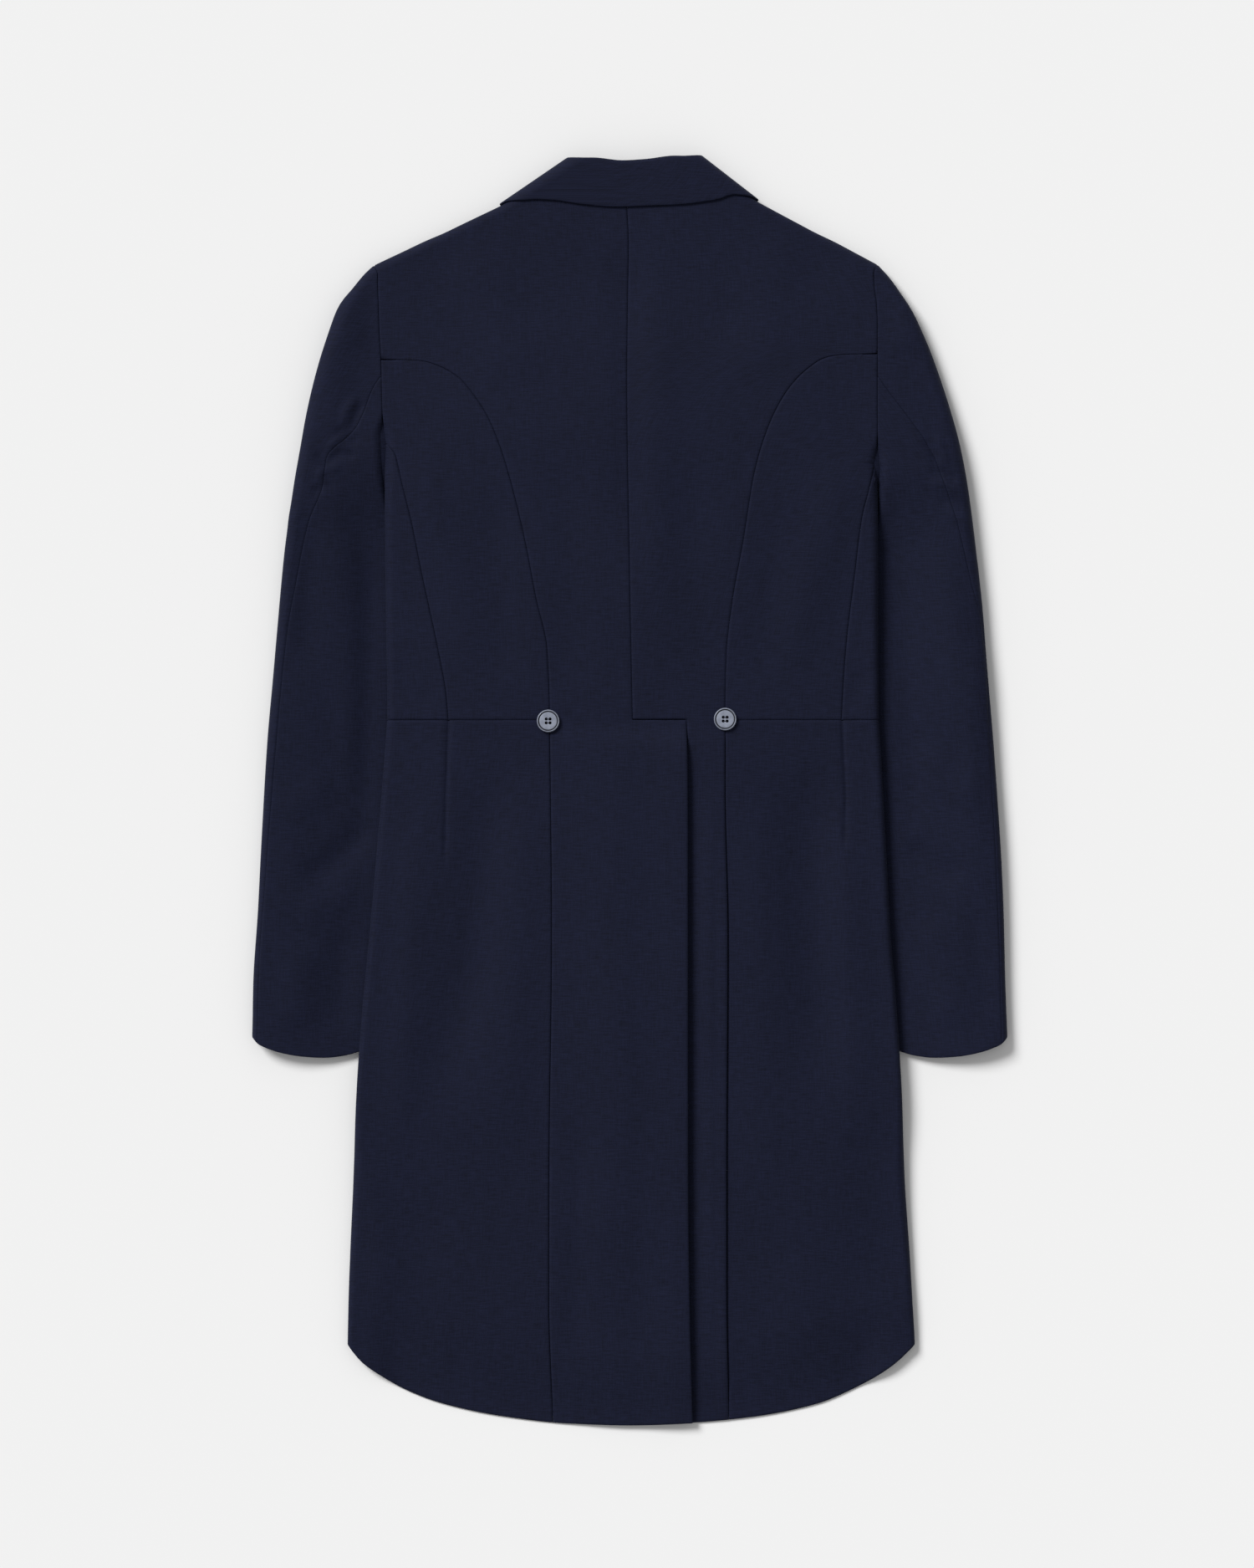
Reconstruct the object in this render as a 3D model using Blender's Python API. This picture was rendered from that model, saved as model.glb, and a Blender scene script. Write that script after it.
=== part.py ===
"""A morning coat laid flat on its front, seen with its back up.

World frame in metres: +X to the right of a viewer who looks down on the back, +Y towards the
collar, +Z up, with the ground at zero. Sizes below are in millimetres. Plan places are given as
a distance from the centre line, so that one function makes the left and the right piece.
"""
import math

import bmesh
import bpy
import numpy as np

MM = 0.001
WALL = 1.8
SEAM = 0.3
LAYER = WALL + SEAM
HALF_SEAM = SEAM / 2
HALF_WALL = WALL / 2
LEFT = -1
RIGHT = 1
NAMES = {LEFT: "left", RIGHT: "right"}

WAIST = 59.0
HEM_CORNER = -464.0
PIT = {LEFT: 291.0, RIGHT: 272.0}
PIT_RISE = 44.0
HIND_TOP = 346.3
SLEEVE_INNER_HEIGHT = 5.4
BUTTON_WIDTH = 19.5
BUTTON_THICK = 2.6
FRONT_BUTTON_Y = 76.0


def named(columns, *rows):
    """A table as a dictionary of columns, its first column rising."""
    rows = sorted(rows)
    return {name: np.array([row[i] for row in rows], float) for i, name in enumerate(columns.split())}


def read(table, name, key):
    """The value of one column of a table where its first column has the value key."""
    first = next(iter(table))
    return float(np.interp(key, table[first], table[name]))


# Side edge of the body, where the forepart and the skirt turn under
SIDE_EDGE = named(
    "y left right",
    (291, 205, 207), (172, 204, 207.5), (70, 202.5, 207.7), (30, 205, 210), (-40, 211, 214),
    (-113, 217.5, 218), (-170, 223, 222.7), (-248, 228.5, 227.5), (-318, 231, 230),
    (-388, 234, 234.5), (-464, 236, 238.5))

# Armhole seam
ARMHOLE = named(
    "y left right",
    (440, 210.7, 204), (387, 209.5, 207), (360, 208, 207), (328, 207.2, 206.9), (272, 205, 207))

# Side-body seam in the back, from the armhole down to the waist
SIDE_BODY = named(
    "station left_x left_y right_x right_y centre_y side_left side_right",
    (0, 207.8, 360.5, 206.8, 365.3, 381, 360, 364.8), (1, 176, 359.2, 177, 364.2, 367, 352, 353),
    (2, 160.5, 355, 163, 361.5, 353, 342, 337), (3, 143, 345, 150, 353.5, 338, 328, 318),
    (4, 130, 330, 136, 340, 321, 313, 299), (5, 119, 313, 123, 320, 303, 300, 282),
    (6, 109.5, 291, 112.5, 295, 281, 289.5, 270.5), (7, 100, 261, 104, 265, 255, 280, 260),
    (8, 87, 207, 94.5, 207, 207, 225, 222), (9, 78, 160, 86, 160, 160, 170, 170),
    (10, 69, 119, 80.8, 115, 117, 120, 118), (11, 66.9, 72, 79.7, 72, 72, 72, 72),
    (12, 66.9, 59, 79.6, 59, 59, 59, 59))

# Side seam between the side-body and the forepart
SIDE_SEAM = named(
    "y left right",
    (291, 205, 205), (280, 195.5, 205), (272, 193.5, 204.5), (256, 190, 201), (228, 183, 194),
    (181, 173.5, 188), (123, 161, 181), (82, 153.5, 178), (59, 151.4, 176.9))

# Seam between the skirt and the tail, and the free edge of the vent flap
TAIL_SEAM = named(
    "y left right vent",
    (59, 66.9, 79.6, 47.4), (0, 66, 79.4, 49.5), (-120, 65, 81.7, 48.7), (-318, 67.2, 80.9, 48.8),
    (-425, 67.4, 81, 50), (-531, 64, 83, 52.6))

# Centre back seam, measured from the middle towards the right
CENTRE = named("y x", (487, -2.3), (457, -0.9), (414, -1.6), (347, -2.3), (172, 0.2), (59, 2.4))

# Hem line of skirts and tails, measured from the middle towards the right
HEM = named(
    "x y",
    (-236, -464), (-224, -478), (-207, -490), (-187, -501.5), (-156, -513), (-103, -524),
    (-53, -529.5), (0, -531), (43, -529.5), (103, -524), (157, -513), (185, -501.5),
    (206, -490), (222, -479), (238, -464))

# Front edge beneath: roll line down to the button, then the cut-away edge of the skirt
FRONT_EDGE = named(
    "y x",
    (453, 44), (300, 22), (150, 2), (95, -8), (76, -11), (59, -5), (39, 10), (-24, 51),
    (-122, 107), (-248, 163), (-388, 212), (-464, 231))

# Outer edge of each sleeve from the shoulder to the cuff
SLEEVE_EDGE = named(
    "y left right",
    (439, 214, 207.5), (431, 222.6, 215.4), (403, 241, 234.3), (375, 252.2, 248.3),
    (347, 261.3, 258.8), (319, 269, 267.9), (291, 274.6, 275.6), (263, 279.5, 281.2),
    (235, 283.7, 285.4), (207, 287.9, 288.9), (151, 293.5, 295.2), (95, 298.4, 299.4),
    (39, 303.3, 304.3), (-45, 308.2, 309.9), (-101, 311, 312.7), (-157, 314.5, 314.1),
    (-206, 315.9, 315.9))

# Hind-arm seam that shows on the back of each sleeve
HIND_SEAM = named(
    "y left right",
    (346.3, 207.8, 207), (337, 213.7, 213.5), (314, 224, 231), (294, 239, 245.5), (277, 250, 255), (254, 256.5, 263.5),
    (218, 267.6, 275), (171, 279, 286), (137, 285.5, 295), (32, 296, 301), (-73, 304.5, 306.5),
    (-143, 309.5, 309.5), (-206, 311.5, 311))

# How far the inner fold of each sleeve lies under the side of the body
TUCK = named("y left right", (210, 7, 5), (150, 14, 7), (0, 24, 9), (-206, 33, 12))

# Cuff edge, measured from the middle
CUFF_EDGE = named(
    "x y",
    (193, -206), (210, -212), (226, -218), (238, -221.5), (255, -223.4), (273, -222.4),
    (292, -218), (306, -213), (316, -206))

# Height of the body at its sides, the rise at its middle, and the height of a sleeve's outside
HEIGHT = named(
    "y side crown sleeve",
    (531, 15, 0, 15), (480, 15, 0, 15), (440, 15, 0.8, 15), (360, 17, 4, 17), (291, 18.5, 5, 17.5), (200, 18.5, 5, 16),
    (59, 17, 4, 14), (-200, 15.5, 2, 12.5), (-350, 12, 0, 12), (-464, 7.5, 0, 12))

# Ends of the creases where the collar and the shoulders turn under
CREASE_TOP = {LEFT: (51.3, 529.6), RIGHT: (59.3, 531.4)}
CREASE_END = {LEFT: (109.4, 491.0), RIGHT: (108.3, 494.5)}
SHOULDER_POINT = {LEFT: (214.0, 438.9), RIGHT: (207.5, 439.5)}
NECK_SHARE = 0.458
BACK_NECK = 496.0
COLLAR_TOP = named(
    "x y",
    (-57, 529.5), (-28, 528.6), (-6, 526.4), (13, 527.4), (36, 530.2), (62, 530.9))
COLLAR_LEAF = named(
    "x y",
    (-109, 491), (-103, 494.5), (-64, 493.1), (-39, 489.6), (-10, 487.5), (11, 488.2), (43, 489.6),
    (70, 493.1), (93, 497.3), (109, 494.5))
GORGE = ((44.0, 453.0), (116.0, 462.0))
GORGE_NECK = (50.0, 457.0)
LAPEL_EDGE = named(
    "y x",
    (461, 116), (440, 115), (400, 104), (350, 90), (300, 74), (250, 57), (200, 39), (158, 16))


def smooth(value):
    value = min(max(value, 0.0), 1.0)
    return value * value * (3 - 2 * value)


def mix(a, b, share):
    return a + (b - a) * share


def mix_points(a, b, share):
    return (mix(a[0], b[0], share), mix(a[1], b[1], share))


def unit(x, y):
    length = math.hypot(x, y)
    return (x / length, y / length)


def moved(point, direction, distance):
    return (point[0] + direction[0] * distance, point[1] + direction[1] * distance)


def beside(points, distance):
    """A plan line moved sideways; a positive distance moves a line drawn downwards outwards."""
    result = []
    for i, point in enumerate(points):
        before = points[max(i - 1, 0)]
        after = points[min(i + 1, len(points) - 1)]
        run = unit(after[0] - before[0], after[1] - before[1])
        result.append(moved(point, (-run[1], run[0]), distance))
    return result


def spread(first, last, count):
    return [mix(first, last, i / count) for i in range(count + 1)]


# Heights of the outer faces of the cloth

def body_top(x, y, side):
    """Height of the back at a distance x from the middle."""
    rise = read(HEIGHT, "crown", y) * max(0.0, 1 - (x / 205) ** 2) ** 1.5
    height = read(HEIGHT, "side", y) + rise
    above_hem = y - read(HEM, "y", side * x)
    lying = smooth(above_hem / 70)
    near_side = smooth((abs(x) - 190) / 30)
    return mix(mix(WALL + 0.3, height, lying), height, near_side)


def tuck(side, y):
    """How far the sleeve lies under the body, limited so that their two folds stay clear."""
    wanted = read(TUCK, NAMES[side], y)
    sleeve_radius = inner_height(side, y) / 2
    radius = body_radius(side, y)
    low = side_lift(side, y)
    middle = (read(HEIGHT, "side", y) + low) / 2
    half = (read(HEIGHT, "side", y) - low) / 2
    apart = half + sleeve_radius + 0.8
    drop = middle - sleeve_radius
    if drop >= apart:
        return wanted
    side_step = math.sqrt(apart ** 2 - drop ** 2)
    return min(wanted, radius + sleeve_radius - side_step * max(1.0, radius / half))


def inner_height(side, y):
    """Height of a sleeve at its inner fold, full at the armpit and low under the body."""
    below = PIT[side] - y
    return mix(read(HEIGHT, "side", PIT[side]), SLEEVE_INNER_HEIGHT, smooth(below / 75))


def side_lift(side, y):
    """Lift of the side of the body over the sleeve that lies beneath it."""
    down = smooth((PIT[side] - 5 - y) / 65)
    end = smooth((y + 300) / 50)
    return (SLEEVE_INNER_HEIGHT + 0.5) * down * end


def body_bottom(x, y, side):
    """Height of the under face of the body at a distance x from the middle."""
    facing = LAYER * smooth((172 - x) / 24) * smooth((y - 12) / 40)
    edge = read(SIDE_EDGE, NAMES[side], y)
    strip = edge - read(TUCK, NAMES[side], y) - 4
    over_sleeve = side_lift(side, y) * smooth((x - strip + 26) / 26)
    from_button = math.hypot(x, y - FRONT_BUTTON_Y)
    over_button = (BUTTON_THICK + SEAM) * smooth((110 - from_button) / 60)
    return max(facing, over_sleeve, over_button)


def right_front_lift(x, y):
    """The right front lies over the left one at the middle."""
    return (LAYER + 0.4) * smooth((52 - x) / 18) * smooth((y - 24) / 20)


def vent_lift(x, y):
    """The left tail laps over the right one; x counts towards the right here."""
    return (LAYER + 0.1) * smooth((x + 10) / 10) * smooth((WAIST + 11 - y) / 10)


def body_radius(side, y):
    return (read(HEIGHT, "side", y) - side_lift(side, y)) / 2


def pit_angle(side, y):
    """Angle by which both sides of the armhole seam roll in above the armpit."""
    return math.radians(87) * (1 - smooth((y - PIT[side]) / PIT_RISE))


def rolled_edge(radius, turn, parts, width=6.0):
    """How far inside the armhole seam, and how low, the cloth is as it rolls in to the seam."""
    reach = radius * math.sin(turn)
    result = []
    for part in parts:
        if turn > 0.6:
            inset = reach - radius * math.sin(turn * part)
        else:
            inset = max(reach, width) * (1 - part)
        angle = math.asin(max(0.0, reach - inset) / radius)
        result.append((inset, radius * (1 - math.cos(angle))))
    return result


def sleeve_inner(side, y):
    """Distance of the centre of the sleeve's inner fold from the middle."""
    radius = inner_height(side, y) / 2
    if y >= PIT[side]:
        return read(ARMHOLE, NAMES[side], y) + HALF_SEAM + radius * math.sin(pit_angle(side, y))
    return read(SIDE_EDGE, NAMES[side], y) - tuck(side, y) + radius


def sleeve_top(x, y, side):
    if y >= PIT[side]:
        low = read(HEIGHT, "side", y)
        start = read(ARMHOLE, NAMES[side], y)
    else:
        low = inner_height(side, y)
        start = max(sleeve_inner(side, y), read(SIDE_EDGE, NAMES[side], y) + 2)
    end = read(SLEEVE_EDGE, NAMES[side], y) - 12
    return mix(low, read(HEIGHT, "sleeve", y), smooth((x - start) / max(end - start, 1.0)))


def flat_ground(x, y):
    return 0.0


# Grids of points and the walls made from them

def wrap_row(start, axis, outward, radius, end, top, bottom, counts, end_shares, path=None):
    """One row of a piece that runs over the top, round a fold and back beneath."""
    high = top(*axis)
    low = bottom(*axis)
    lead = math.dist(start, axis)
    tail = math.dist(end, axis)
    half_turn = math.pi * radius

    def beyond(point):
        return (point[0] - axis[0]) * outward[0] + (point[1] - axis[1]) * outward[1]

    def place(run):
        if run < 0:
            share = -run / lead
            plan = path(share) if path else mix_points(axis, start, share)
            return (*plan, top(*plan))
        if run <= half_turn:
            angle = run / radius
            plan = moved(axis, outward, radius * math.sin(angle))
            return (*plan, (high + low) / 2 + (high - low) / 2 * math.cos(angle))
        plan = mix_points(axis, end, (run - half_turn) / tail)
        return (*plan, bottom(*plan))

    first = -lead
    if beyond(start) > 0:
        first = radius * math.asin(min(beyond(start) / radius, 1.0))
    last = half_turn + tail
    if beyond(end) > 0:
        last = half_turn - radius * math.asin(min(beyond(end) / radius, 1.0))
    fold_start = max(0.0, first + 1.5)
    fold_end = min(half_turn, last - 1.5)
    runs = spread(first, fold_start, counts[0])[:-1]
    runs += spread(fold_start, fold_end, counts[1])[:-1]
    runs += [mix(fold_end, last, share) for share in end_shares]
    return [place(run) for run in runs]


def cell_list(grid, open_cells=()):
    """The cells of a grid whose four corners exist and that aren't left open."""
    cells = []
    for i in range(len(grid) - 1):
        for j in range(len(grid[0]) - 1):
            corners = ((i, j), (i, j + 1), (i + 1, j + 1), (i + 1, j))
            if (i, j) in open_cells or any(grid[a][b] is None for a, b in corners):
                continue
            cells.append(corners)
    return cells


def grid_normals(grid, cells):
    """Unit normals at the points of a grid, carried on to its edges from the cells inside."""
    around = {}
    for corners in cells:
        points = [np.array(grid[a][b]) for a, b in corners]
        normal = np.cross(points[2] - points[0], points[3] - points[1])
        normal /= np.linalg.norm(normal)
        for corner in corners:
            around.setdefault(corner, []).append((corners, normal))
    plain = {}
    for corner, found in around.items():
        total = sum(normal for _, normal in found)
        plain[corner] = total / np.linalg.norm(total)
    normals = dict(plain)
    for corner, found in around.items():
        inward = None
        if len(found) == 2:
            shared = set(found[0][0]) & set(found[1][0]) - {corner}
            inward = shared.pop() if len(shared) == 1 else None
        if len(found) == 1:
            corners = found[0][0]
            inward = corners[(corners.index(corner) + 2) % 4]
        if inward and len(around[inward]) == 4:
            carried = 2 * plain[corner] - plain[inward]
            normals[corner] = carried / np.linalg.norm(carried)
    return normals


def wall_mesh(name, grid, faces_up, outer=0.0, inner=WALL, open_cells=()):
    """A closed wall of cloth: an outer and an inner skin joined along every free edge."""
    cells = cell_list(grid, open_cells)
    normals = grid_normals(grid, cells)
    first = cells[0][0]
    turn = 1 if (normals[first][2] > 0) == faces_up else -1
    mesh = bmesh.new()
    skins = []
    for offset in (outer, -inner):
        skin = {}
        for corner, normal in normals.items():
            place = np.array(grid[corner[0]][corner[1]]) + normal * turn * offset
            skin[corner] = mesh.verts.new(place * MM)
        skins.append(skin)
    borders = {}
    for corners in cells:
        for skin in skins:
            mesh.faces.new([skin[corner] for corner in corners])
        for a, b in zip(corners, corners[1:] + corners[:1]):
            if (b, a) in borders:
                del borders[(b, a)]
            else:
                borders[(a, b)] = True
    for a, b in borders:
        mesh.faces.new([skins[0][a], skins[0][b], skins[1][b], skins[1][a]])
    bmesh.ops.recalc_face_normals(mesh, faces=mesh.faces)
    data = bpy.data.meshes.new(name)
    mesh.to_mesh(data)
    mesh.free()
    return data


def mirrored(grid, side):
    """A grid given by distances from the middle, put on its side of the coat."""
    return [[None if p is None else (p[0] * side, p[1], p[2]) for p in row] for row in grid]


def add_piece(name, data, material):
    piece = bpy.data.objects.new(name, data)
    data.materials.append(material)
    bpy.context.scene.collection.objects.link(piece)
    return piece


def plain_material(name, colour, roughness):
    material = bpy.data.materials.new(name)
    material.use_nodes = True
    shader = material.node_tree.nodes["Principled BSDF"]
    shader.inputs["Base Color"].default_value = (*colour, 1)
    shader.inputs["Roughness"].default_value = roughness
    shader.inputs["Metallic"].default_value = 0.0
    return material


# Lines that neighbouring pieces share

def crease_axis(side):
    """Centre line of the turned edge beside the collar: its top, its neck point and its end."""
    top, end = CREASE_TOP[side], CREASE_END[side]
    run = unit(end[0] - top[0], end[1] - top[1])
    outward = (-run[1], run[0])
    top_axis = moved(top, outward, -10.0)
    end_axis = moved(end, outward, -9.2)
    return top_axis, mix_points(top_axis, end_axis, NECK_SHARE), end_axis, outward


def shoulder_axis(side):
    """Centre line of the shoulder fold from the neck to the armhole, with outward directions."""
    neck, end, outward = crease_axis(side)[1:]
    point = SHOULDER_POINT[side]
    run = unit(point[0] - CREASE_END[side][0], point[1] - CREASE_END[side][1])
    slope_out = (-run[1], run[0])
    radius = read(HEIGHT, "side", 440) / 2
    turn = end
    last = moved(point, slope_out, -radius)
    neck = moved(neck, run, HALF_SEAM)
    return neck, turn, last, outward, slope_out


def shoulder_line(side, shares):
    """Points and outward directions along the shoulder fold, from the neck outwards."""
    neck, turn, last, outward, slope_out = shoulder_axis(side)
    result = []
    for share in shares:
        if share < 0.25:
            point = mix_points(neck, turn, share / 0.25)
        else:
            point = mix_points(turn, last, (share - 0.25) / 0.75)
        direction = unit(*mix_points(outward, slope_out, smooth(share / 0.4)))
        result.append((point, direction))
    return result


def side_body_line(side):
    name = NAMES[side]
    return list(zip(SIDE_BODY[name + "_x"], SIDE_BODY[name + "_y"]))


def tail_row_y(share, x):
    return mix(WAIST - HALF_SEAM, read(HEM, "y", x), share)


# Backs

BACK_SHOULDER = (0, 0.25, 0.5, 0.75, 1)
BACK_UPPER = (0.85, 0.66, 0.45, 0.22)
TAIL_ROWS = (0, 0.05, 0.12, 0.22, 0.34, 0.46, 0.58, 0.7, 0.8, 0.88, 0.94, 0.975, 1)
SHOULDER_SEAM_ANGLE = 105


def back_guides(side):
    """Rows of three plan places: the outer seam, the neck column and the centre seam."""
    rows = []
    line = shoulder_line(side, BACK_SHOULDER)
    neck = line[0][0]
    seam = beside(side_body_line(side), -HALF_SEAM)
    outer_low = (seam[0][0], seam[0][1] + HALF_SEAM)
    outer_top = line[-1][0]
    for share in (1,) + BACK_UPPER:
        y = mix(outer_low[1], outer_top[1], share)
        x = mix(read(ARMHOLE, NAMES[side], y) - HALF_SEAM, outer_top[0], smooth((share - 0.6) / 0.4))
        middle = mix(381, BACK_NECK - HALF_SEAM, share)
        column = (neck[0], mix(381, neck[1], share))
        rows.append([(x, y), column, middle])
    for point, centre_y in zip(seam, SIDE_BODY["centre_y"]):
        share = mix(0.35, 0.6, smooth((361 - centre_y) / 200))
        column = mix_points((0, centre_y), point, share)
        rows.append([point, column, centre_y])
    return rows


def back_grid(side):
    """The back from the shoulder to the hem; the left one has the vent flap."""
    line = shoulder_line(side, BACK_SHOULDER)
    centre_gap = side * HALF_SEAM
    flap_columns = 4

    def place(x, y):
        height = body_top(abs(x), y, side)
        if side == LEFT:
            height += vent_lift(x, y)
        return (x, y, height)

    grid = []
    for angle in (SHOULDER_SEAM_ANGLE, 78, 50, 24):
        row = []
        for (x, y), outward in reversed(line):
            high = body_top(x, y, side)
            low = body_bottom(x, y, side)
            turn = math.radians(angle)
            plan = moved((x, y), outward, (high - low) / 2 * math.sin(turn))
            row.append((plan[0] * side, plan[1], (high + low) / 2 + (high - low) / 2 * math.cos(turn)))
        grid.append(row + [None] * (5 + flap_columns))
    top_row = [place(side * x, y) for (x, y), _ in reversed(line)]
    for i, (outer, column, centre_y) in enumerate(back_guides(side)):
        row = []
        for share in spread(0.0, 1.0, 4):
            x, y = mix_points(outer, column, share)
            row.append(place(side * x, y))
        if i == 0:
            row = top_row
        centre_x = read(CENTRE, "x", centre_y) + centre_gap
        near = centre_x + side * 10
        for x_share in (0.36, 0.7, 1.0):
            x = mix(side * column[0], near, x_share)
            y = mix(column[1], centre_y, x_share) if i else neck_line(abs(x), side) - HALF_SEAM
            row.append(place(x, y))
        for x_share in (0.5, 1.0):
            x = mix(near, centre_x, x_share)
            row.append(place(x, neck_line(abs(x), side) - HALF_SEAM if i == 0 else centre_y))
        grid.append(row + [None] * flap_columns)
    waist_row = grid.pop()
    tail_x = read(CENTRE, "x", WAIST) + (centre_gap if side == LEFT else 0.9)
    for share in TAIL_ROWS:
        row = []
        y_near = tail_row_y(share, side * 67)
        outer = side * (read(TAIL_SEAM, NAMES[side], y_near) - HALF_SEAM)
        near = tail_x + side * 10
        xs = [mix(outer, near, s) for s in (0, 0.15, 0.3, 0.45, 0.6, 0.74, 0.88, 1.0)]
        xs += [mix(near, tail_x, s) for s in (0.5, 1.0)]
        if side == LEFT:
            edge = read(TAIL_SEAM, "vent", tail_row_y(share, 48))
            xs += [mix(tail_x, edge, s) for s in (0.25, 0.5, 0.75, 1.0)]
        for x in xs:
            row.append(place(x, waist_row[0][1] if share == 0 else tail_row_y(share, x)))
        grid.append(row + [None] * (len(waist_row) - len(row)))
    return grid


def neck_line(x, side):
    """The neck seam across the back."""
    neck = crease_axis(side)[1]
    return mix(BACK_NECK, neck[1], (x / neck[0]) ** 2)


# Side-bodies, foreparts and skirts

def side_body_grid(side):
    """Between the back and the forepart, from the armhole to the waist."""
    name = NAMES[side]
    grid = []
    seam = beside(side_body_line(side), HALF_SEAM)
    for i, ((x, seam_y), y) in enumerate(zip(seam, SIDE_BODY["side_" + name])):
        seam_y = max(seam_y, WAIST + HALF_SEAM) - (0.4 if i == 0 else 0)
        y = max(y, WAIST + HALF_SEAM)
        if y > PIT[side]:
            radius = read(HEIGHT, "side", y) / 2
            edge = read(ARMHOLE, name, y) - HALF_SEAM
            rolled = rolled_edge(radius, pit_angle(side, y), (1, 0.66, 0.33, 0))
            flat = edge - rolled[-1][0]
            x = min(x, flat - 2)
            row = [(edge - inset, y, body_top(edge - inset, y, side) - drop) for inset, drop in rolled]
        else:
            flat = read(SIDE_SEAM, name, y) - HALF_SEAM
            steps = [(flat - inset, y) for inset in (0, 2.5, 6, 11)]
            row = [(*plan, fold_height(side, *plan)) for plan in steps]
            flat -= 11
        for share in (0.45, 1):
            plan = mix_points((flat, y), (x, seam_y), share)
            row.append((*plan, body_top(*plan, side)))
        grid.append(row)
    return grid


def fold_height(side, x, y):
    """Height of the top face, rounded off where it nears the side fold."""
    radius = body_radius(side, y)
    centre = read(SIDE_EDGE, NAMES[side], y) - radius
    if x <= centre:
        return body_top(x, y, side)
    high = body_top(centre, y, side)
    low = body_bottom(centre, y, side)
    turn = math.asin(min((x - centre) / radius, 1.0))
    return (high + low) / 2 + (high - low) / 2 * math.cos(turn)


def side_fold(side, y):
    radius = body_radius(side, y)
    return (read(SIDE_EDGE, NAMES[side], y) - radius, y), radius


def front_bottom(side):
    """The height function of the under face for one front."""
    def height(x, y):
        lift = right_front_lift(x, y) if side == RIGHT else 0.0
        return body_bottom(abs(x), y, side) + lift
    return height


FRONT_SHARES = (0, 0.22, 0.42, 0.6, 0.74, 0.84, 0.92, 1)
FRONT_UPPER = (0.08, 0.2, 0.36, 0.55, 0.75, 1.0)
FRONT_SHOULDER = (0, 0.08, 0.16, 0.25, 0.4, 0.58, 0.76, 0.96, 0.973, 0.987, 1)


def front_grid(side):
    """The forepart: side seam, side fold, chest beneath, armhole, and the shoulder fold."""
    name = NAMES[side]
    counts = (2, 7, len(FRONT_SHARES) - 1)
    bottom = front_bottom(side)
    grid = []
    for y in SIDE_BODY["side_" + name][:5:-1]:
        y = max(y, WAIST + HALF_SEAM)
        start = (read(SIDE_SEAM, name, y) + HALF_SEAM, y)
        axis, radius = side_fold(side, y)
        end = (read(FRONT_EDGE, "x", y), y)
        grid.append(wrap_row(start, axis, (1, 0), radius, end,
                             lambda x, v: body_top(x, v, side), bottom, counts, FRONT_SHARES))
    lower = len(grid)
    line = shoulder_line(side, FRONT_SHOULDER)
    neck = line[0][0]
    inner = [(44, 453), (GORGE_NECK[0] + 1, GORGE_NECK[1] - 1)]
    for i, share in enumerate(FRONT_UPPER):
        y = mix(PIT[side] + 3, line[-1][0][1], share)
        radius = read(HEIGHT, "side", y) / 2
        turn = pit_angle(side, y)
        edge = read(ARMHOLE, name, y) - HALF_SEAM
        edge = mix(edge, line[-1][0][0], smooth((share - 0.6) / 0.4))
        rolled = rolled_edge(radius, turn, (1, 0.66, 0.33, 0))
        axis = edge - rolled[-1][0]
        row = [None] * (counts[0] + counts[1] - 3)
        row += [(edge - inset, y, bottom(edge - inset, y) + drop) for inset, drop in rolled[:3]]
        if i == len(FRONT_UPPER) - 1:
            row[-3:] = [(*line[-1 - k][0], bottom(*line[-1 - k][0])) for k in range(3)]
        inner_y = mix(PIT[side] + 3, 451.5, min(share / 0.55, 1))
        near = (read(FRONT_EDGE, "x", inner_y), inner_y)
        if share > 0.55:
            near = inner[1] if share < 1 else neck
        for k, part in enumerate(FRONT_SHARES):
            plan = mix_points((axis, y), near, part)
            if i == len(FRONT_UPPER) - 1:
                plan = line[-4 - k][0]
            row.append((*plan, bottom(*plan)))
        grid.append(row)
    blank = counts[0] + counts[1]
    for angle in (158, 132, SHOULDER_SEAM_ANGLE + 4.5):
        row = [None] * (blank - 3)
        for (x, y), outward in reversed(line):
            high = body_top(x, y, side)
            low = body_bottom(x, y, side)
            turn = math.radians(angle)
            plan = moved((x, y), outward, (high - low) / 2 * math.sin(turn))
            row.append((*plan, (high + low) / 2 + (high - low) / 2 * math.cos(turn)))
        grid.append(row)
    open_cells = [(i, j) for i in range(lower - 1, len(grid)) for j in range(blank - 3)]
    return grid, open_cells


SKIRT_SHARES = (0, 0.22, 0.45, 0.7, 0.86, 1)


def skirt_grid(side):
    """The skirt: tail seam, side fold and the cut-away front edge beneath."""
    name = NAMES[side]
    grid = []
    for share in TAIL_ROWS:
        fold_y = mix(WAIST - HALF_SEAM, HEM_CORNER, share)
        seam_y = tail_row_y(share, side * 70)
        start = (read(TAIL_SEAM, name, seam_y) + HALF_SEAM, seam_y)
        axis, radius = side_fold(side, fold_y)
        end = (read(FRONT_EDGE, "x", fold_y), fold_y)

        def path(part, start=start, axis=axis, share=share, fold_y=fold_y):
            x = mix(axis[0], start[0], part)
            y = tail_row_y(share, side * x)
            return (x, mix(fold_y, y, smooth(part / 0.3)))

        grid.append(wrap_row(start, axis, (1, 0), radius, end,
                             lambda x, y: body_top(x, y, side), front_bottom(side), (6, 6),
                             SKIRT_SHARES, path))
    return grid


# Sleeves

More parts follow.
